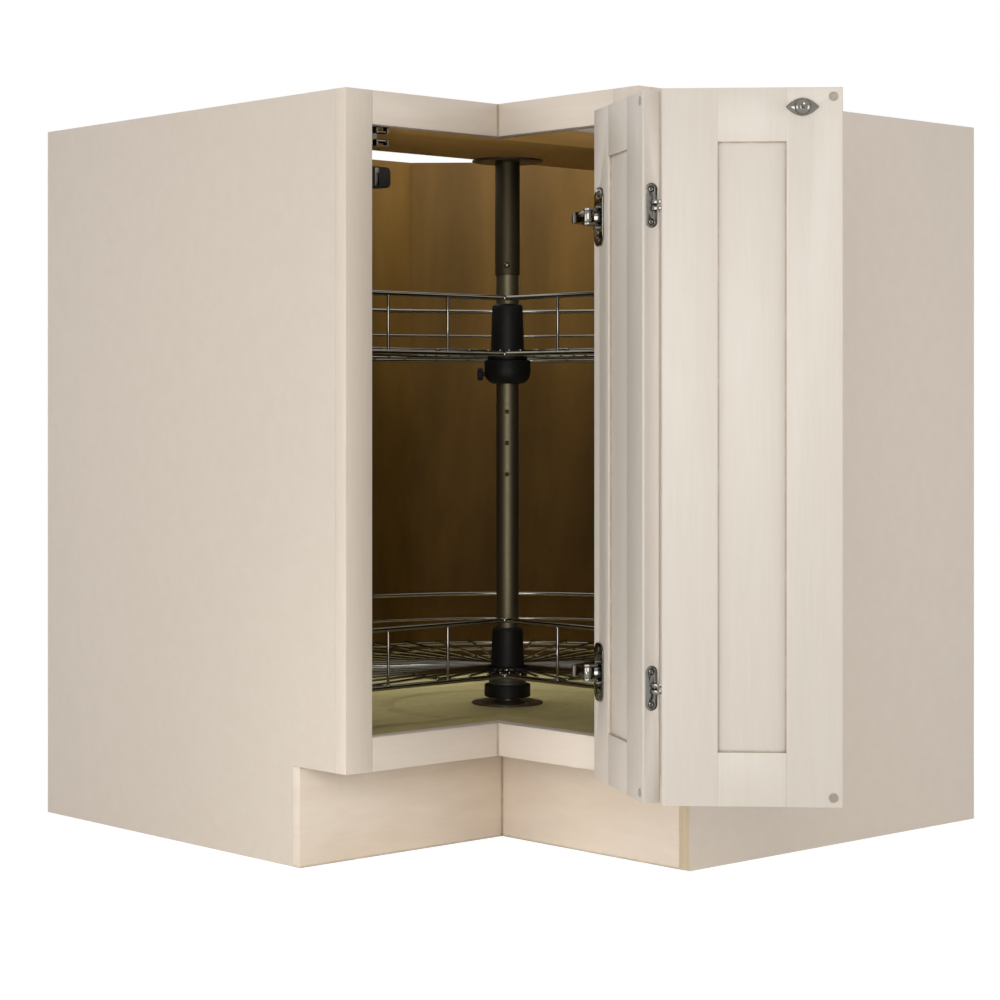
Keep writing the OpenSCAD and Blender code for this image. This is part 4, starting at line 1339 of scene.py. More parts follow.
@dataclass
class Carousel(SubAssembly):
    """Post, plates, collars and knob round which the shelves turn.

    Args:
        tube_r: Radius of the lower tube.
        upper_r: Radius of the upper tube.
        wall: Wall of both tubes.
        plate_r: Radius of the plates.
        plate_t: Thickness of the plates.
        base_z: Underside of the base plate.
        top_z: Top side of the top plate.
        lower_ends: Ends of the lower tube.
        upper_ends: Ends of the upper tube.
        hole_levels: Heights of the holes in the lower tube.
        hole_r: Radius of those holes.
        lock_z: Height of the lock screw.
        screw_ring: Radius of the circle of plate screws.
        collar_r: Radius of both collars.
        upper_collar_z: Underside of the upper collar.
        knob_z: Height of its knob.
        thrust_z: Underside of the thrust ring.
        thrust_r: Radius of the thrust ring.
    """

    tube_r: float = 14.3 * MM
    upper_r: float = 15.88 * MM
    wall: float = 1.5 * MM
    plate_r: float = 45.5 * MM
    plate_t: float = 3.0 * MM
    base_z: float = 142.4 * MM
    top_z: float = 838.2 * MM
    lower_ends: Pair = (151.4 * MM, 781.0 * MM)
    upper_ends: Pair = (691.0 * MM, 835.2 * MM)
    hole_levels: Point = (516.0 * MM, 476.0 * MM, 436.0 * MM)
    hole_r: float = 3.0 * MM
    lock_z: float = 703.0 * MM
    screw_ring: float = 35.5 * MM
    collar_r: float = 29.5 * MM
    upper_collar_z: float = 552.0 * MM
    knob_z: float = 564.0 * MM
    thrust_z: float = 167.4 * MM
    thrust_r: float = 25.5 * MM

    @property
    def bore(self) -> float:
        """Bore of what is pushed on the lower tube."""
        return self.tube_r + 0.1 * MM

    def at(self, level: float) -> Matrix:
        """A frame on the post's axis at a height."""
        return moved(self.sizes.post_at, -self.sizes.post_at, level)

    def plate(self, name: str, seat: Matrix, pedestal: bool) -> bpy.types.Object:
        """A pressed steel plate with a rolled edge.

        Args:
            name: Its name.
            seat: Frame at the face that is screwed down, local Z away from it.
            pedestal: Whether a socket for the tube stands on it.

        Returns:
            The plate.
        """
        r, t = self.plate_r, self.plate_t
        profile = [(0, 0), *points(r, 0, (-0.8, 0), (0, 0.7), (0, 1.5), (-0.7, 2.3), (-3, 2.9)),
                   *points(r, t, (-5, 0))]
        if pedestal:
            socket = self.tube_r + 1.0 * MM
            profile += points(socket, t, (3, 0), (1, 0.5), (0, 1.6), (0, 5.6), (-0.5, 6))
            profile += points(0, t, (12.5, 6), (12.3, 5)) + points(0, 0, (12.3, 1), (0, 1))
        else:
            profile += [(0, t)]
        return Form().lathe(profile, seat, FINE_TURN).done(name)

    def tube(self, name: str, ends: Pair, outer: float, holes: Sequence[float]) -> bpy.types.Object:
        """A tube with cross holes on the side that faces the doors.

        Args:
            name: Its name.
            ends: Heights of its lower and its upper end.
            outer: Outer radius.
            holes: Heights of the holes.

        Returns:
            The tube.
        """
        low, high = ends
        inner, e = outer - self.wall, 0.3 * MM
        profile = [(inner, low + e), (inner + e, low), (outer - e, low), (outer, low + e),
                   (outer, high - e), (outer - e, high), (inner + e, high), (inner, high - e),
                   (inner, low + e)]
        form = Form().lathe(profile, self.at(0), FINE_TURN)
        bmesh.ops.remove_doubles(form.bm, verts=form.bm.verts, dist=1e-7)
        piece = form.done(name)
        drill = [(0, 5 * MM), (self.hole_r, 5 * MM), (self.hole_r, 25 * MM), (0, 25 * MM)]
        for level in holes:
            toward = self.at(level) @ turned(-45, "Z") @ turned(90, "Y")
            cut_out(piece, Form().lathe(drill, toward, 28).done("hole_cutter"))
        smooth_by_angle(piece, 35.0)
        return piece

    def plate_screws(self) -> bpy.types.Object:
        """The six screws of both plates as one piece.

        Returns:
            The screws.
        """
        form = Form()
        screw = PhillipsScrew(4 * MM, 1.6 * MM, 2 * MM, 3 * MM)
        for angle in (0.0, 120.0, 240.0):
            arm = turned(angle, "Z") @ moved(self.screw_ring, 0, 0)
            screw.add(form, self.at(self.base_z + self.plate_t) @ arm)
            screw.add(form, self.at(self.top_z - self.plate_t) @ arm @ turned(180, "X"))
        return form.done("post_screws_crossed")

    def lock_screw(self) -> bpy.types.Object:
        """The screw that locks the upper tube on the lower one.

        Returns:
            The screw.
        """
        form = Form()
        lock = self.at(self.lock_z) @ turned(-45, "Z") @ turned(90, "Y") @ moved(0, 0, 16.1 * MM)
        PhillipsScrew(3.6 * MM, 3 * MM, 2 * MM, 1.8 * MM).add(form, lock)
        return form.done("post_lock_screw_crossed")

    def knob(self) -> bpy.types.Object:
        """The knurled thumb screw of the upper collar.

        Returns:
            The knob.
        """
        place = self.at(self.knob_z) @ turned(225, "Z") @ turned(90, "Y")
        lobes, lobe_h = 8, 0.4 * MM
        low, high = 31.7 * MM, 38.7 * MM
        profile = points(0, 0, (0, 14.3), (3, 14.3)) \
            + points(0, low, (3, 0), (6.6, 0), (7.6, 0.8)) \
            + points(0, high, (7.6, -1.2), (6.8, -0.3), (3, 0), (0, -0.6))

        def knurl(angle: float, height: float) -> float:
            """Lobes round the grip."""
            return lobe_h * math.cos(angle * lobes) if height > low + 0.1 * MM else 0.0

        return Form().lathe(profile, place, 64, knurl).done("upper_collar_knob_lobed")

    def upper_collar(self) -> bpy.types.Object:
        """The bowl-shaped collar that carries the upper shelf.

        Returns:
            The collar.
        """
        r, bore = self.collar_r, self.bore
        bowl = points(bore, 0, (0, 0.6), (0.6, 0))
        bowl += [(r * share, up * MM) for share, up in (
            (0.62, 0), (0.70, 0.6), (0.80, 2.4), (0.885, 5.0), (0.945, 7.6), (0.985, 10.4),
            (1.0, 13.5), (1.0, 28.6))]
        bowl += points(r, 0, (-0.5, 29.6), (-1.4, 30)) + points(bore, 0, (0, 30), (0, 0.6))
        return Form().lathe(bowl, self.at(self.upper_collar_z), FINE_TURN).done(
            "upper_clamp_collar_bowl")

    def lower_collar(self) -> bpy.types.Object:
        """The plain collar on the base plate's socket.

        Returns:
            The collar.
        """
        ring = points(self.bore, 0, (0, 0)) \
            + points(self.collar_r, 0, (-0.9, 0), (0, 0.9), (0, 14.8), (-1.2, 16)) \
            + points(self.bore, 0, (0, 16), (0, 0))
        return Form().lathe(ring, self.at(self.lower_ends[0]), FINE_TURN).done(
            "lower_clamp_collar_turned")

    def thrust_ring(self) -> bpy.types.Object:
        """The stepped ring that the lower hub turns on.

        Returns:
            The ring.
        """
        ring = points(self.bore, 0, (0, 0)) \
            + points(self.thrust_r, 0, (-2, 0), (-2, 4), (0, 5), (0, 11.8), (-0.8, 12.6)) \
            + points(self.bore, 0, (0, 12.6), (0, 0))
        return Form().lathe(ring, self.at(self.thrust_z), FINE_TURN).done(
            "lower_thrust_ring_turned")

    def build(self) -> None:
        """Makes the post and what is clamped on it."""
        base = self.plate("post_base_plate_rolled", self.at(self.base_z), True)
        top = self.plate("post_top_plate_rolled",
                         self.at(self.top_z) @ Matrix.Diagonal((1, 1, -1, 1)), False)
        lower = self.tube("post_lower_tube_drilled", self.lower_ends, self.tube_r,
                          self.hole_levels)
        upper = self.tube("post_upper_tube_sleeved", self.upper_ends, self.upper_r, ())
        for made, node, finish, slot in (
            (base, "post_base_plate", Coat.BRONZE_PAINT, None),
            (top, "post_top_plate", Coat.BRONZE_PAINT, None),
            (lower, "post_lower_tube", Coat.ZINC_TUBE, None),
            (upper, "post_upper_tube", Coat.ZINC_SLEEVE, Coat.ZINC_TUBE),
            (self.plate_screws(), "post_screws", Coat.SCREW_STEEL, None),
            (self.lock_screw(), "post_lock_screw", Coat.SCREW_STEEL, None),
            (self.upper_collar(), "upper_clamp_collar", Coat.BLACK_MOULDING, None),
            (self.knob(), "upper_collar_knob", Coat.BLACK_MOULDING, None),
            (self.lower_collar(), "lower_clamp_collar", Coat.BLACK_MOULDING, None),
            (self.thrust_ring(), "lower_thrust_ring", Coat.GREY_MOULDING, None),
        ):
            self.add(made, node, Body.CABINET, finish, slot)


@dataclass
class WireShelf(SubAssembly):
    """A pie-cut wire shelf with its moulded hub.

    Args:
        body: The body that it turns with.
        level: Height of its floor.
        hub_h: Height of its hub above the floor.
        radius: Outer radius.
        notch: Distance of the notch's wires from the post's axis.
        rim_h: Height of the upper rim loop.
        mid_h: Height of the middle rail.
        rim_r: Wire radius of the rim loops.
        ring_r: Wire radius of the middle rail and the floor rings.
        spoke_r: Wire radius of the spokes.
        upright_r: Wire radius of the uprights.
        hub_r: Radius of the hub's barrel.
        hub_bore: Bore of the hub.
        hub_ring: Radius of the floor ring round the hub.
        ring_shares: Radii of the other floor rings as shares of the outer radius.
        spokes: Number of spokes in a full turn.
        outer_uprights: Number of uprights round the outside.
        notch_uprights: Number of uprights along each side of the notch.
        notch_step: Distance between them.
    """

    body: Body = Body.UPPER_SHELF
    level: float = 588.0 * MM
    hub_h: float = 66.0 * MM
    radius: float = 355.6 * MM
    notch: float = 58.0 * MM
    rim_h: float = 70.0 * MM
    mid_h: float = 35.0 * MM
    rim_r: float = 3.0 * MM
    ring_r: float = 2.0 * MM
    spoke_r: float = 1.5 * MM
    upright_r: float = 1.7 * MM
    hub_r: float = 21.5 * MM
    hub_bore: float = 14.4 * MM
    hub_ring: float = 24.0 * MM
    ring_shares: Pair = (0.42, 0.72)
    spokes: int = 48
    outer_uprights: int = 9
    notch_uprights: int = 3
    notch_step: float = 95.0 * MM

    def local(self, x: float, y: float, z: float) -> Vector:
        """A point given from the post's axis and the shelf's floor."""
        return Vector((self.sizes.post_at + x, y - self.sizes.post_at, self.level + z))

    def polar(self, radius: float, degrees: float, z: float) -> Vector:
        """A point given by its radius and angle round the post."""
        angle = math.radians(degrees)
        return self.local(radius * math.cos(angle), radius * math.sin(angle), z)

    def notch_angle(self, radius: float, clear: float = 0.0) -> float:
        """Angle past the notch's side at which a circle meets a line beside the notch.

        Args:
            radius: Radius of the circle.
            clear: Distance of the line from the notch's wires.

        Returns:
            The angle in degrees.
        """
        return math.degrees(math.asin((self.notch - clear) / radius))

    @staticmethod
    def bend(corner: Vector, before: Vector, after: Vector, reach: float) -> List[Vector]:
        """Points of a bend at a corner.

        Args:
            corner: The corner.
            before: A point on the incoming side.
            after: A point on the outgoing side.
            reach: Distance from the corner at which the bend starts.

        Returns:
            The bend's points.
        """
        steps = 6
        a = corner + (before - corner).normalized() * reach
        b = corner + (after - corner).normalized() * reach
        shares = [k / steps for k in range(steps + 1)]
        return [a * (1 - t) ** 2 + corner * 2 * t * (1 - t) + b * t ** 2 for t in shares]

    def loop(self, height: float) -> List[Vector]:
        """Centre line of a rim loop round the shelf and its notch.

        Args:
            height: Its height above the floor.

        Returns:
            The points.
        """
        steps, ease = 144, 1.8
        tip_bend, side_bend = 9.0 * MM, 8.0 * MM
        run = math.sqrt(self.radius ** 2 - self.notch ** 2)
        end = self.notch_angle(self.radius)
        tip = self.local(self.notch, -self.notch, height)
        right = self.local(run, -self.notch, height)
        left = self.local(self.notch, -run, height)
        first, last = ease - end, 270 + end - ease
        arc = [self.polar(self.radius, first + (last - first) * k / steps, height)
               for k in range(steps + 1)]
        return [*self.bend(tip, left, right, tip_bend), *self.bend(right, tip, arc[0], side_bend),
                *arc, *self.bend(left, arc[-1], tip, side_bend)]

    def arc(self, radius: float, height: float, clear: float) -> List[Vector]:
        """Centre line of a level arc that stops short of the notch.

        Args:
            radius: Its radius.
            height: Its height above the floor.
            clear: How far from the notch's wires it stops.

        Returns:
            The points.
        """
        steps = 110
        stop = self.notch_angle(radius, clear)
        return [self.polar(radius, -stop + (270 + 2 * stop) * k / steps, height)
                for k in range(steps + 1)]

    def uprights(self) -> List[Pair]:
        """Plan positions of the uprights from the post's axis.

        Returns:
            Their places across and along.
        """
        step, margin = 360 / self.spokes, 2.0
        end = self.notch_angle(self.radius)
        spots = []
        for i in range(self.outer_uprights):
            near = margin - end + i * (270 + 2 * (end - margin)) / (self.outer_uprights - 1)
            angle = math.radians(-90 + step * round((near + 90) / step))
            spots.append((self.radius * math.cos(angle), self.radius * math.sin(angle)))
        for k in range(1, self.notch_uprights + 1):
            reach = self.notch + self.notch_step * k
            spots += [(self.notch, -reach), (reach, -self.notch)]
        return spots

    def add_uprights(self, form: Form) -> None:
        """Adds the uprights and their weld beads.

        Args:
            form: The form that takes them.
        """
        lap, bead_in, bead_r = 0.5 * MM, 2.2 * MM, 2.7 * MM
        for x, y in self.uprights():
            levels = (lap, self.rim_h / 2, self.rim_h - lap)
            form.wire([self.local(x, y, z) for z in levels], self.upright_r, sides=10)
            for z in (bead_in, self.rim_h - bead_in):
                form.bead(self.local(x, y, z), bead_r, 0.7)

    def add_floor(self, form: Form) -> None:
        """Adds the floor rings, and the spokes with their weld beads.

        Args:
            form: The form that takes them.
        """
        sink, lap = 0.2 * MM, 0.5 * MM
        bead_from, bead_z, bead_r = 340.0 * MM, 2.9 * MM, 2.3 * MM
        spoke_z = self.rim_r + self.spoke_r - sink
        ring_z = spoke_z - self.spoke_r - self.ring_r + lap
        round_hub, clear = 100, 2.0 * MM
        form.wire([self.polar(self.hub_ring, 360 / round_hub * k, ring_z)
                   for k in range(round_hub)], self.ring_r, True, 10)
        for share in self.ring_shares:
            form.wire(self.arc(self.radius * share, ring_z, clear), self.ring_r, sides=10)
        step = 360 / self.spokes
        for k in range(self.spokes):
            angle = -90 + step * (k + 0.5)
            reach = self.radius
            if -90 < angle < 0:
                level = self.notch / math.cos(math.radians(angle))
                upright = -self.notch / math.sin(math.radians(angle))
                reach = min(self.radius, max(level, upright))
            ends = (self.hub_ring, (self.hub_ring + reach) / 2, reach - lap)
            form.wire([self.polar(r, angle, spoke_z) for r in ends], self.spoke_r, sides=8)
            if reach > bead_from:
                form.bead(self.polar(reach, angle, bead_z), bead_r, 0.6)

    def frame(self) -> bpy.types.Object:
        """The welded wire frame.

        Returns:
            The frame.
        """
        form = Form()
        for height in (0.0, self.rim_h):
            form.wire(self.loop(height), self.rim_r, True, 14)
        lap, clear = 0.3 * MM, 5.0 * MM
        rail_r = self.radius - self.upright_r - self.ring_r + lap
        form.wire(self.arc(rail_r, self.mid_h, clear), self.ring_r, sides=10)
        self.add_uprights(form)
        self.add_floor(form)
        return form.done(self.body.value + "_frame_welded", 50.0)

    def hub(self) -> bpy.types.Object:
        """The moulded hub.

        Returns:
            The hub.
        """
        h, r, bore = self.hub_h, self.hub_r, self.hub_bore
        profile = points(bore, 0, (0, -6)) \
            + points(r, 0, (3, -6), (4, -5.2), (4, -1.8), (3.4, -1.1), (0.3, -1.1),
                     (-0.2, -0.6), (-0.2, 8)) \
            + [(r - 1.0 * MM, h * 0.5)] \
            + points(r, h, (-1.9, -5), (-2.6, -2.4), (-4, -0.6), (-5.4, 0)) \
            + points(bore, h, (0.5, 0), (0, -0.5)) + points(bore, 0, (0, -6))
        place = Matrix.Translation(self.local(0, 0, 0))
        return Form().lathe(profile, place, FINE_TURN).done(self.body.value + "_hub_moulded")

    def build(self) -> None:
        """Makes the frame and the hub."""
        self.add(self.frame(), self.body.value + "_frame", self.body, Coat.CHROME_WIRE)
        self.add(self.hub(), self.body.value + "_hub", self.body, Coat.BLACK_MOULDING)


@dataclass
class DoorLeaves(SubAssembly):
    """The two pie-cut leaves with their flat panels and bumpers.

    Args:
        arris: Broken arris of the members.
        edge_round: Rounding of the upright arrises at a leaf's outer edges.
        bumper_r: Radius of a bumper.
        bumper_h: Height of a bumper.
        bumper_inset: Distance of a bumper from the leaf's edges.
    """

    arris: float = 0.35 * MM
    edge_round: float = 1.8 * MM
    bumper_r: float = 4.7 * MM
    bumper_h: float = 1.7 * MM
    bumper_inset: float = 9.5 * MM

    def outer_edge(self, carry: Matrix) -> EdgeTest:
        """Tells the upright arrises at a leaf's two outer edges.

        Args:
            carry: Carries the closed leaf to the open one.

        Returns:
            A test of an edge's two ends.
        """
        near, long = 0.1 * MM, 300 * MM
        back = carry.inverted()
        sides = (self.sizes.leaf_x0, self.sizes.leaf_x1)

        def test(a: Vector, b: Vector) -> bool:
            """Whether an edge is one of those arrises.

            Args:
                a: One end of the edge.
                b: Its other end.

            Returns:
                True if it is.
            """
            p, q = back @ a, back @ b
            at_side = min(abs(p.x - side) for side in sides) < near and abs(p.x - q.x) < near
            return at_side and abs(p.z - q.z) > long

        return test

    def bumpers(self, name: str, carry: Matrix, x: float) -> bpy.types.Object:
        """The domed bumpers of one leaf as one piece.

        Args:
            name: Its name.
            carry: Carries the closed leaf to the open one.
            x: Place across the closed leaf.

        Returns:
            The bumpers.
        """
        form = Form()
        dome = [(self.bumper_r * across, self.bumper_h * up) for across, up in (
            (0, 0), (1, 0), (1, 0.25), (0.93, 0.55), (0.75, 0.85), (0.4, 0.98), (0, 1))]
        s = self.sizes
        for z in (s.leaf_low + self.bumper_inset, s.leaf_high - self.bumper_inset):
            form.lathe(dome, s.on_back(carry, x, z), 40)
        return form.done(name)

    def build(self) -> None:
        """Makes the leaves' members, panels and bumpers."""
        s = self.sizes
        leaves = (("right_leaf", Body.RIGHT_LEAF, s.right_leaf(), "hinge_stile",
                   s.leaf_x0 + self.bumper_inset),
                  ("left_leaf", Body.LEFT_LEAF, s.left_leaf(), "free_stile",
                   s.leaf_x1 - self.bumper_inset))
        for name, body, carry, outer_stile, bumper_x in leaves:
            edges = self.outer_edge(carry)
            for part in (outer_stile, "fold_stile", "top_rail", "bottom_rail", "panel"):
                node = f"{name}_{part}"
                wide = (self.edge_round, edges) if "stile" in part else ()
                self.add(eased(self.nodes[node], self.arris, *wide), node, body,
                         Coat.PAINTED_LEAF)
        for name, body, carry, outer_stile, bumper_x in leaves:
            node = name + "_bumpers"
            self.add(self.bumpers(node + "_domed", carry, bumper_x), node, body,
                     Coat.CLEAR_BUMPER)


@dataclass
class DoorHardware(SubAssembly):
    """Concealed hinges, fold hinges, screws, strike and catches.

    Args:
        arris: Broken arris of the pressed and cast parts.
        magnet_bar: Distance behind the face frame's front at which the magnet's bar starts.
        roller_at: Place of the catch rollers in plan.
        roller_spread: Distance of each roller above or below the strike's height.
        strike_half: Half length and half width of the strike's plate.
        seat_screw: Screw of the hinge brackets.
        fold_screw: Screw of the fold hinges.
        cup_screw: Screw of the hinge cups.
        strike_screw: Screw of the strike.
        seat_screw_at: Place of the bracket screws: sunk in the stile, behind its front, and
            half their distance apart.
        fold_screw_at: Place of the fold screws: sunk in the edge, behind the front, and half
            their distance apart.
        cup_screw_at: Place of the cup screws: from the leaf's edge, off its back, and half
            their distance apart.
        strike_screw_at: Place of the strike screws: off the leaf's back, and half their
            distance apart.
    """

    arris: float = 0.25 * MM
    magnet_bar: float = 3.95 * MM
    roller_at: Pair = (593.6 * MM, -774.6 * MM)
    roller_spread: float = 5.1 * MM
    strike_half: Pair = (17.0 * MM, 9.0 * MM)
    seat_screw: PhillipsScrew = PhillipsScrew(4.0 * MM, 1.6 * MM, 2.0 * MM, 4.0 * MM)
    fold_screw: PhillipsScrew = PhillipsScrew(3.0 * MM, 1.2 * MM, 1.5 * MM, 25.0 * MM)
    cup_screw: PhillipsScrew = PhillipsScrew(3.5 * MM, 1.0 * MM, 1.75 * MM, 12.0 * MM)
    strike_screw: PhillipsScrew = PhillipsScrew(2.0 * MM, 0.5 * MM, 1.0 * MM, 8.0 * MM)
    seat_screw_at: Point = (4.0 * MM, 10.0 * MM, 14.0 * MM)
    fold_screw_at: Point = (1.6 * MM, 9.5 * MM, 16.8 * MM)
    cup_screw_at: Point = (22.0 * MM, 1.4 * MM, 25.25 * MM)
    strike_screw_at: Pair = (1.2 * MM, 12.0 * MM)

    def pressings(self) -> None:
        """Hinge parts and catches with broken arrises."""
        for node, body, finish in (
            ("hinge_brackets", Body.CABINET, Coat.NICKEL_STEEL),
            ("hinge_cups", Body.RIGHT_LEAF, Coat.NICKEL_STEEL),
            ("hinge_inner_links", Body.INNER_LINKS, Coat.NICKEL_STEEL),
            ("hinge_outer_links", Body.OUTER_LINKS, Coat.NICKEL_STEEL),
            ("right_fold_hinges", Body.RIGHT_LEAF, Coat.NICKEL_STEEL),
            ("left_fold_hinges", Body.LEFT_LEAF, Coat.NICKEL_STEEL),
            ("catch_housing", Body.CABINET, Coat.NICKEL_STEEL),
            ("magnet_catch", Body.CABINET, Coat.BLACK_MOULDING),
        ):
            self.add(eased(self.nodes[node], self.arris), node, body, finish)

    def rollers(self) -> None:
        """The catch's two rollers on their pins."""
        half = [(0, 9), (0.8, 9), (1, 8.8), (1, 6), (2.1, 6), (2.5, 5.6)]
        profile = points(0, 0, *[(across, -up) for across, up in half], *reversed(half))
        x, y = self.roller_at
        for name, body, sign in (("catch_roller_upper", Body.UPPER_ROLLER, 1),
                                 ("catch_roller_lower", Body.LOWER_ROLLER, -1)):
            level = self.sizes.strike_z + sign * self.roller_spread
            form = Form().lathe(profile, moved(x, y, level) @ turned(90, "X"), 40)
            self.add(form.done(name + "_turned"), name, body, Coat.CHROME_WIRE)

    def strike(self) -> None:
        """The crowned strike plate with its domed, pointed head."""
        s = self.sizes
        place = s.on_back(s.left_leaf(), s.strike_x, s.strike_z)
        length, width = self.strike_half
        turns = [2 * math.pi * k / 72 for k in range(72)]
        lens = [(length * math.cos(t), width * math.sin(t) * abs(math.sin(t))) for t in turns]
        crown = ((1.0, 0.0), (1.0, 0.4), (0.95, 1.0), (0.84, 1.7), (0.66, 2.3), (0.45, 2.6))
        form = Form().stack([[place @ Vector((x * share, y * share, up * MM)) for x, y in lens]
                             for share, up in crown])
        form.lathe(points(0, 0, (0, 0.5), (8.4, 0.9), (8.3, 2.6), (7.6, 4.2), (6.2, 5.6),
                          (4.2, 6.4), (2.0, 6.8), (1.4, 8), (1.4, 19), (1.9, 20.4), (2.3, 21.7),
                          (2.3, 23.3), (1.7, 25.2), (0.8, 27.1), (0, 27.1)), place, 48)
        self.add(form.done("door_strike_domed"), "door_strike", Body.LEFT_LEAF,
                 Coat.NICKEL_STEEL, Coat.CHROME_WIRE)

    def bracket_screws(self) -> None:
        """The screws that hold the hinge brackets on the stile."""
        s = self.sizes
        sunk, behind, apart = self.seat_screw_at
        form = Form()
        for level in s.hinge_levels:
            for z in (level - apart, level + apart):
                self.seat_screw.add(form, moved(s.stile_edge - sunk, behind - s.face, z)
                                    @ turned(-90, "Y"))
        self.add(form.done("bracket_screws_crossed"), "bracket_screws", Body.CABINET,
                 Coat.SCREW_STEEL)

    def leaf_screws(self) -> None:
        """The screws of the fold hinges, the hinge cups and the strike."""
        s = self.sizes
        for name, body, carry in (("right_leaf_screws", Body.RIGHT_LEAF, s.right_leaf()),
                                  ("left_leaf_screws", Body.LEFT_LEAF, s.left_leaf())):
            form = Form()
            for level in s.hinge_levels:
                for sign in (-1, 1):
                    sunk, behind, apart = self.fold_screw_at
                    fold = moved(s.leaf_x0 + sunk, behind - s.fold, level + sign * apart)
                    self.fold_screw.add(form, carry @ fold @ turned(-90, "Y"))
                    if body is Body.RIGHT_LEAF:
                        inset, lift, apart = self.cup_screw_at
                        self.cup_screw.add(form, s.on_back(carry, s.leaf_x1 - inset,
                                                           level + sign * apart, lift))
            if body is Body.LEFT_LEAF:
                lift, apart = self.strike_screw_at
                for x in (s.strike_x - apart, s.strike_x + apart):
                    self.strike_screw.add(form, s.on_back(carry, x, s.strike_z, lift))
            self.add(form.done(name + "_crossed"), name, body, Coat.NICKEL_STEEL)

    def build(self) -> None:
        """Makes all the hardware."""
        self.pressings()
        self.rollers()
        self.strike()
        self.bracket_screws()
        self.leaf_screws()

    def dress(self) -> None:
        """Gives the magnet its bright bar, and the rest its finish."""
        bar_from = self.sizes.face - self.magnet_bar
        self.skins("magnet_catch", (Coat.BLACK_MOULDING, Coat.NICKEL_STEEL),
                   lambda face: 1 if face.center.x > bar_from else 0)
        super().dress()


# ---------------------------------------------------------------------------
# Camera, floor and light
# ---------------------------------------------------------------------------


@dataclass(frozen=True)
class Lamp:
    """A square soft lamp.

    Args:
        name: Its name.
        place: Where it hangs.
        aim: What it faces.
        size: Its side.
        watts: Its power.
        spread: Width of its beam in degrees.
        colour: Colour of its light.
        mirrored: Whether bright metal shows it.
    """

    name: str
    place: Point
    aim: Point
    size: float
    watts: float
    spread: float = 180.0
    colour: Colour = (1.0, 1.0, 1.0)
    mirrored: bool = True

    def hang(self) -> None:
        """Hangs the lamp."""
        data = bpy.data.lights.new(self.name, "AREA")
        data.size, data.energy, data.color = self.size, self.watts, self.colour
        data.spread = math.radians(self.spread)
        made = bpy.data.objects.new(self.name, data)
        bpy.context.scene.collection.objects.link(made)
        made.location = self.place
        facing = Vector(self.aim) - Vector(self.place)
        made.rotation_euler = facing.to_track_quat("-Z", "Y").to_euler()
        made.visible_camera = False
        made.visible_glossy = self.mirrored


# The lamps, three of which face the middle of the cabinet
MIDDLE = (0.45, -0.45, 0.45)
LAMPS = (
    Lamp("left_lamp", (0.15, -3.6, 0.5), MIDDLE, 1.7, 31.0),
    Lamp("right_lamp", (3.52, 0.38, 0.5), MIDDLE, 1.7, 29.0),
    Lamp("front_lamp", (2.7, -2.6, 0.9), MIDDLE, 1.2, 27.0),
    Lamp("toe_lamp", (1.1, -2.2, 0.06), (0.62, -0.53, 0.03), 0.2, 0.18, 34.0),
    Lamp("top_lamp", (0.2, -0.2, 1.15), (0.18, -0.18, 0.6), 0.5, 6.2, 100.0, (0.82, 0.91, 1.0),
         mirrored=False),
)


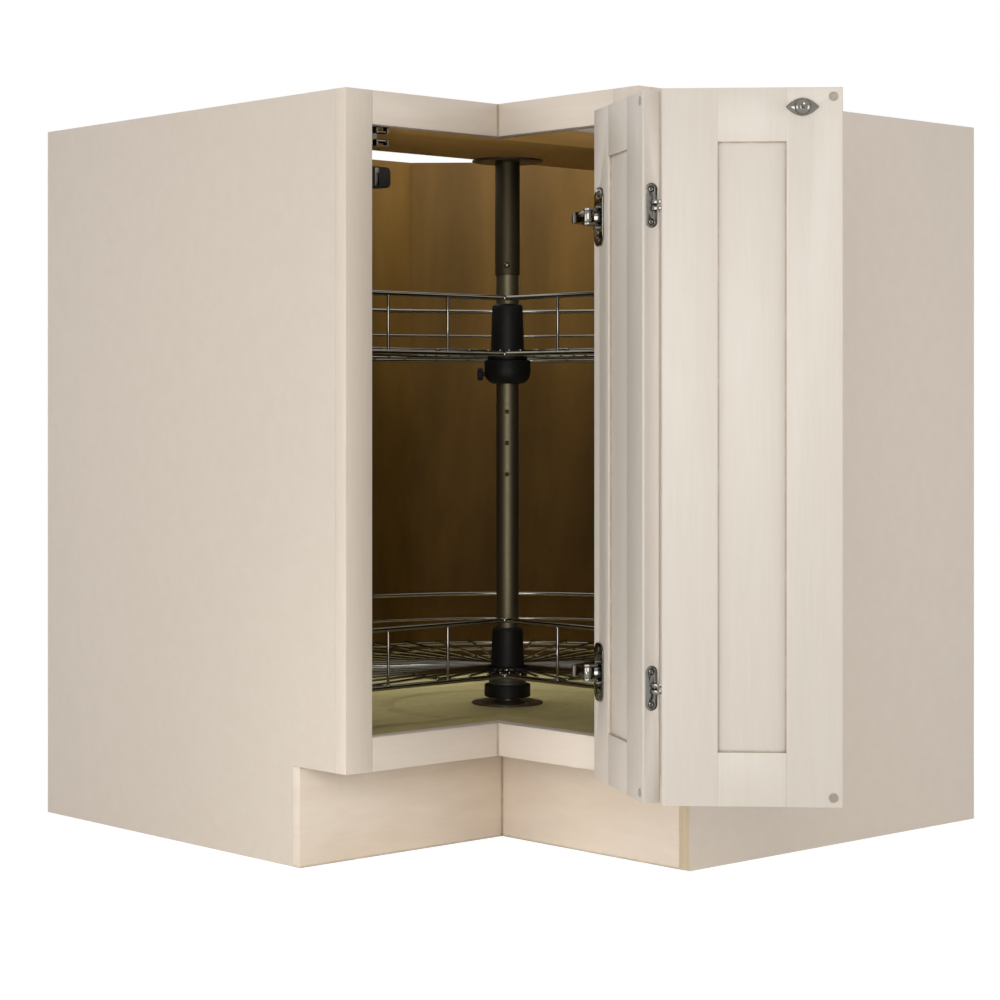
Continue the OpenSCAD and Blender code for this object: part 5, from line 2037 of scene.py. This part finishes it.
@dataclass(frozen=True)
class Studio:
    """The camera of the photograph, a pale floor and soft light.

    Args:
        eye: Camera position.
        heading: Level viewing direction, X and Y.
        lens: Lens in millimetres on a 36 mm sensor.
        shift: Vertical shift that puts the horizon where the photograph has it.
        floor_at: Centre of the floor.
        floor_r: Radius of the floor.
        floor_t: Thickness of the floor.
        floor_glow: Strength of the white that the camera and metal see in the floor.
        floor_share: Share of that white, beside the floor's own lit surface.
        sky_strength: Strength of the light that comes from all round.
    """

    eye: Point = (2.737, -2.560, 0.522)
    heading: Pair = (-0.7365, 0.6763)
    lens: float = 88.85
    shift: float = -0.093
    floor_at: Pair = (0.4, -0.4)
    floor_r: float = 8.0
    floor_t: float = 0.02
    floor_glow: float = 1.25
    floor_share: float = 0.72
    sky_strength: float = 0.36

    def camera(self) -> None:
        """Sets the camera."""
        data = bpy.data.cameras.new("photo_camera")
        data.lens, data.sensor_width, data.shift_y = self.lens, 36.0, self.shift
        data.clip_start, data.clip_end = 0.05, 60.0
        made = bpy.data.objects.new("photo_camera", data)
        bpy.context.scene.collection.objects.link(made)
        made.location = self.eye
        made.rotation_euler = Vector((*self.heading, 0)).to_track_quat("-Z", "Y").to_euler()
        bpy.context.scene.camera = made

    @staticmethod
    def seen_by(sheet: ShaderSheet, *rays: str) -> Socket:
        """A mask that is 1 for some kinds of ray.

        Args:
            sheet: The sheet that takes the mask.
            rays: Names of the Light Path outputs.

        Returns:
            The mask.
        """
        path = sheet.add("LightPath")
        seen = path.outputs[rays[0]]
        for ray in rays[1:]:
            seen = sheet.math("MAXIMUM", seen, path.outputs[ray])
        return seen

    @staticmethod
    def mix_into(sheet: ShaderSheet, output: str, mask: Socket, plain: Socket,
                 white: Socket) -> None:
        """Ends a sheet with a mix of two shaders.

        Args:
            sheet: The sheet.
            output: Name of its output node.
            mask: Where the second shader shows.
            plain: The first shader.
            white: The second shader.
        """
        mix = sheet.add("MixShader")
        for index, value in enumerate((mask, plain, white)):
            sheet.feed(mix.inputs[index], value)
        sheet.feed(sheet.tree.nodes[output].inputs["Surface"], mix.outputs[0])

    def floor(self) -> None:
        """Lays the pale floor."""
        turns = [2 * math.pi * k / 48 for k in range(48)]
        x, y = self.floor_at
        round_edge = [(x + self.floor_r * math.cos(t), y + self.floor_r * math.sin(t))
                      for t in turns]
        form = Form().stack([[Vector((*spot, z)) for spot in round_edge]
                             for z in (-self.floor_t, 0.0)])
        made = form.done("studio_floor")
        material = bpy.data.materials.new("studio_white")
        material.use_nodes = True
        sheet = ShaderSheet(material.node_tree)
        shader = sheet.tree.nodes["Principled BSDF"]
        sheet.feed(shader.inputs["Base Color"], (0.86, 0.86, 0.86, 1))
        sheet.feed(shader.inputs["Roughness"], 0.9)
        glow = sheet.add("Emission")
        sheet.feed(glow.inputs["Color"], (1, 1, 1, 1))
        sheet.feed(glow.inputs["Strength"], self.floor_glow)
        seen = self.seen_by(sheet, "Is Camera Ray", "Is Glossy Ray")
        share = sheet.math("MULTIPLY", seen, self.floor_share)
        self.mix_into(sheet, "Material Output", share, shader.outputs[0], glow.outputs[0])
        made.data.materials.append(material)

    def sky(self) -> None:
        """Sets the soft light from all round, which the camera and metal see as white."""
        world = bpy.data.worlds.new("studio_world")
        bpy.context.scene.world = world
        world.use_nodes = True
        sheet = ShaderSheet(world.node_tree)
        dim = sheet.tree.nodes["Background"]
        white = sheet.add("Background")
        for node, colour, strength in ((dim, (1, 0.99, 0.975, 1), self.sky_strength),
                                       (white, (1, 1, 1, 1), 1.0)):
            sheet.feed(node.inputs["Color"], colour)
            sheet.feed(node.inputs["Strength"], strength)
        seen = self.seen_by(sheet, "Is Camera Ray", "Is Transmission Ray", "Is Glossy Ray")
        self.mix_into(sheet, "World Output", seen, dim.outputs[0], white.outputs[0])

    def light(self) -> None:
        """Hangs the lamps, and shows colours as they are."""
        for lamp in LAMPS:
            lamp.hang()
        self.sky()
        bpy.context.scene.view_settings.view_transform = "Standard"


def main() -> None:
    """Builds the studio and every sub-assembly in order."""
    logging.basicConfig(level=logging.INFO, format="%(message)s")
    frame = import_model()
    studio = Studio()
    studio.camera()
    nodes, finishes = frame["nodes"], FinishBook()
    for assembly in (
        Carcass(nodes, finishes),
        FaceFrame(nodes, finishes),
        Carousel(nodes, finishes),
        WireShelf(nodes, finishes),
        WireShelf(nodes, finishes, body=Body.LOWER_SHELF, level=186.0 * MM, hub_h=54.0 * MM),
        DoorLeaves(nodes, finishes),
        DoorHardware(nodes, finishes),
    ):
        assembly.build()
        assembly.dress()
        assembly.report()
    studio.floor()
    studio.light()
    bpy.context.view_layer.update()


if __name__ == "__main__":
    main()
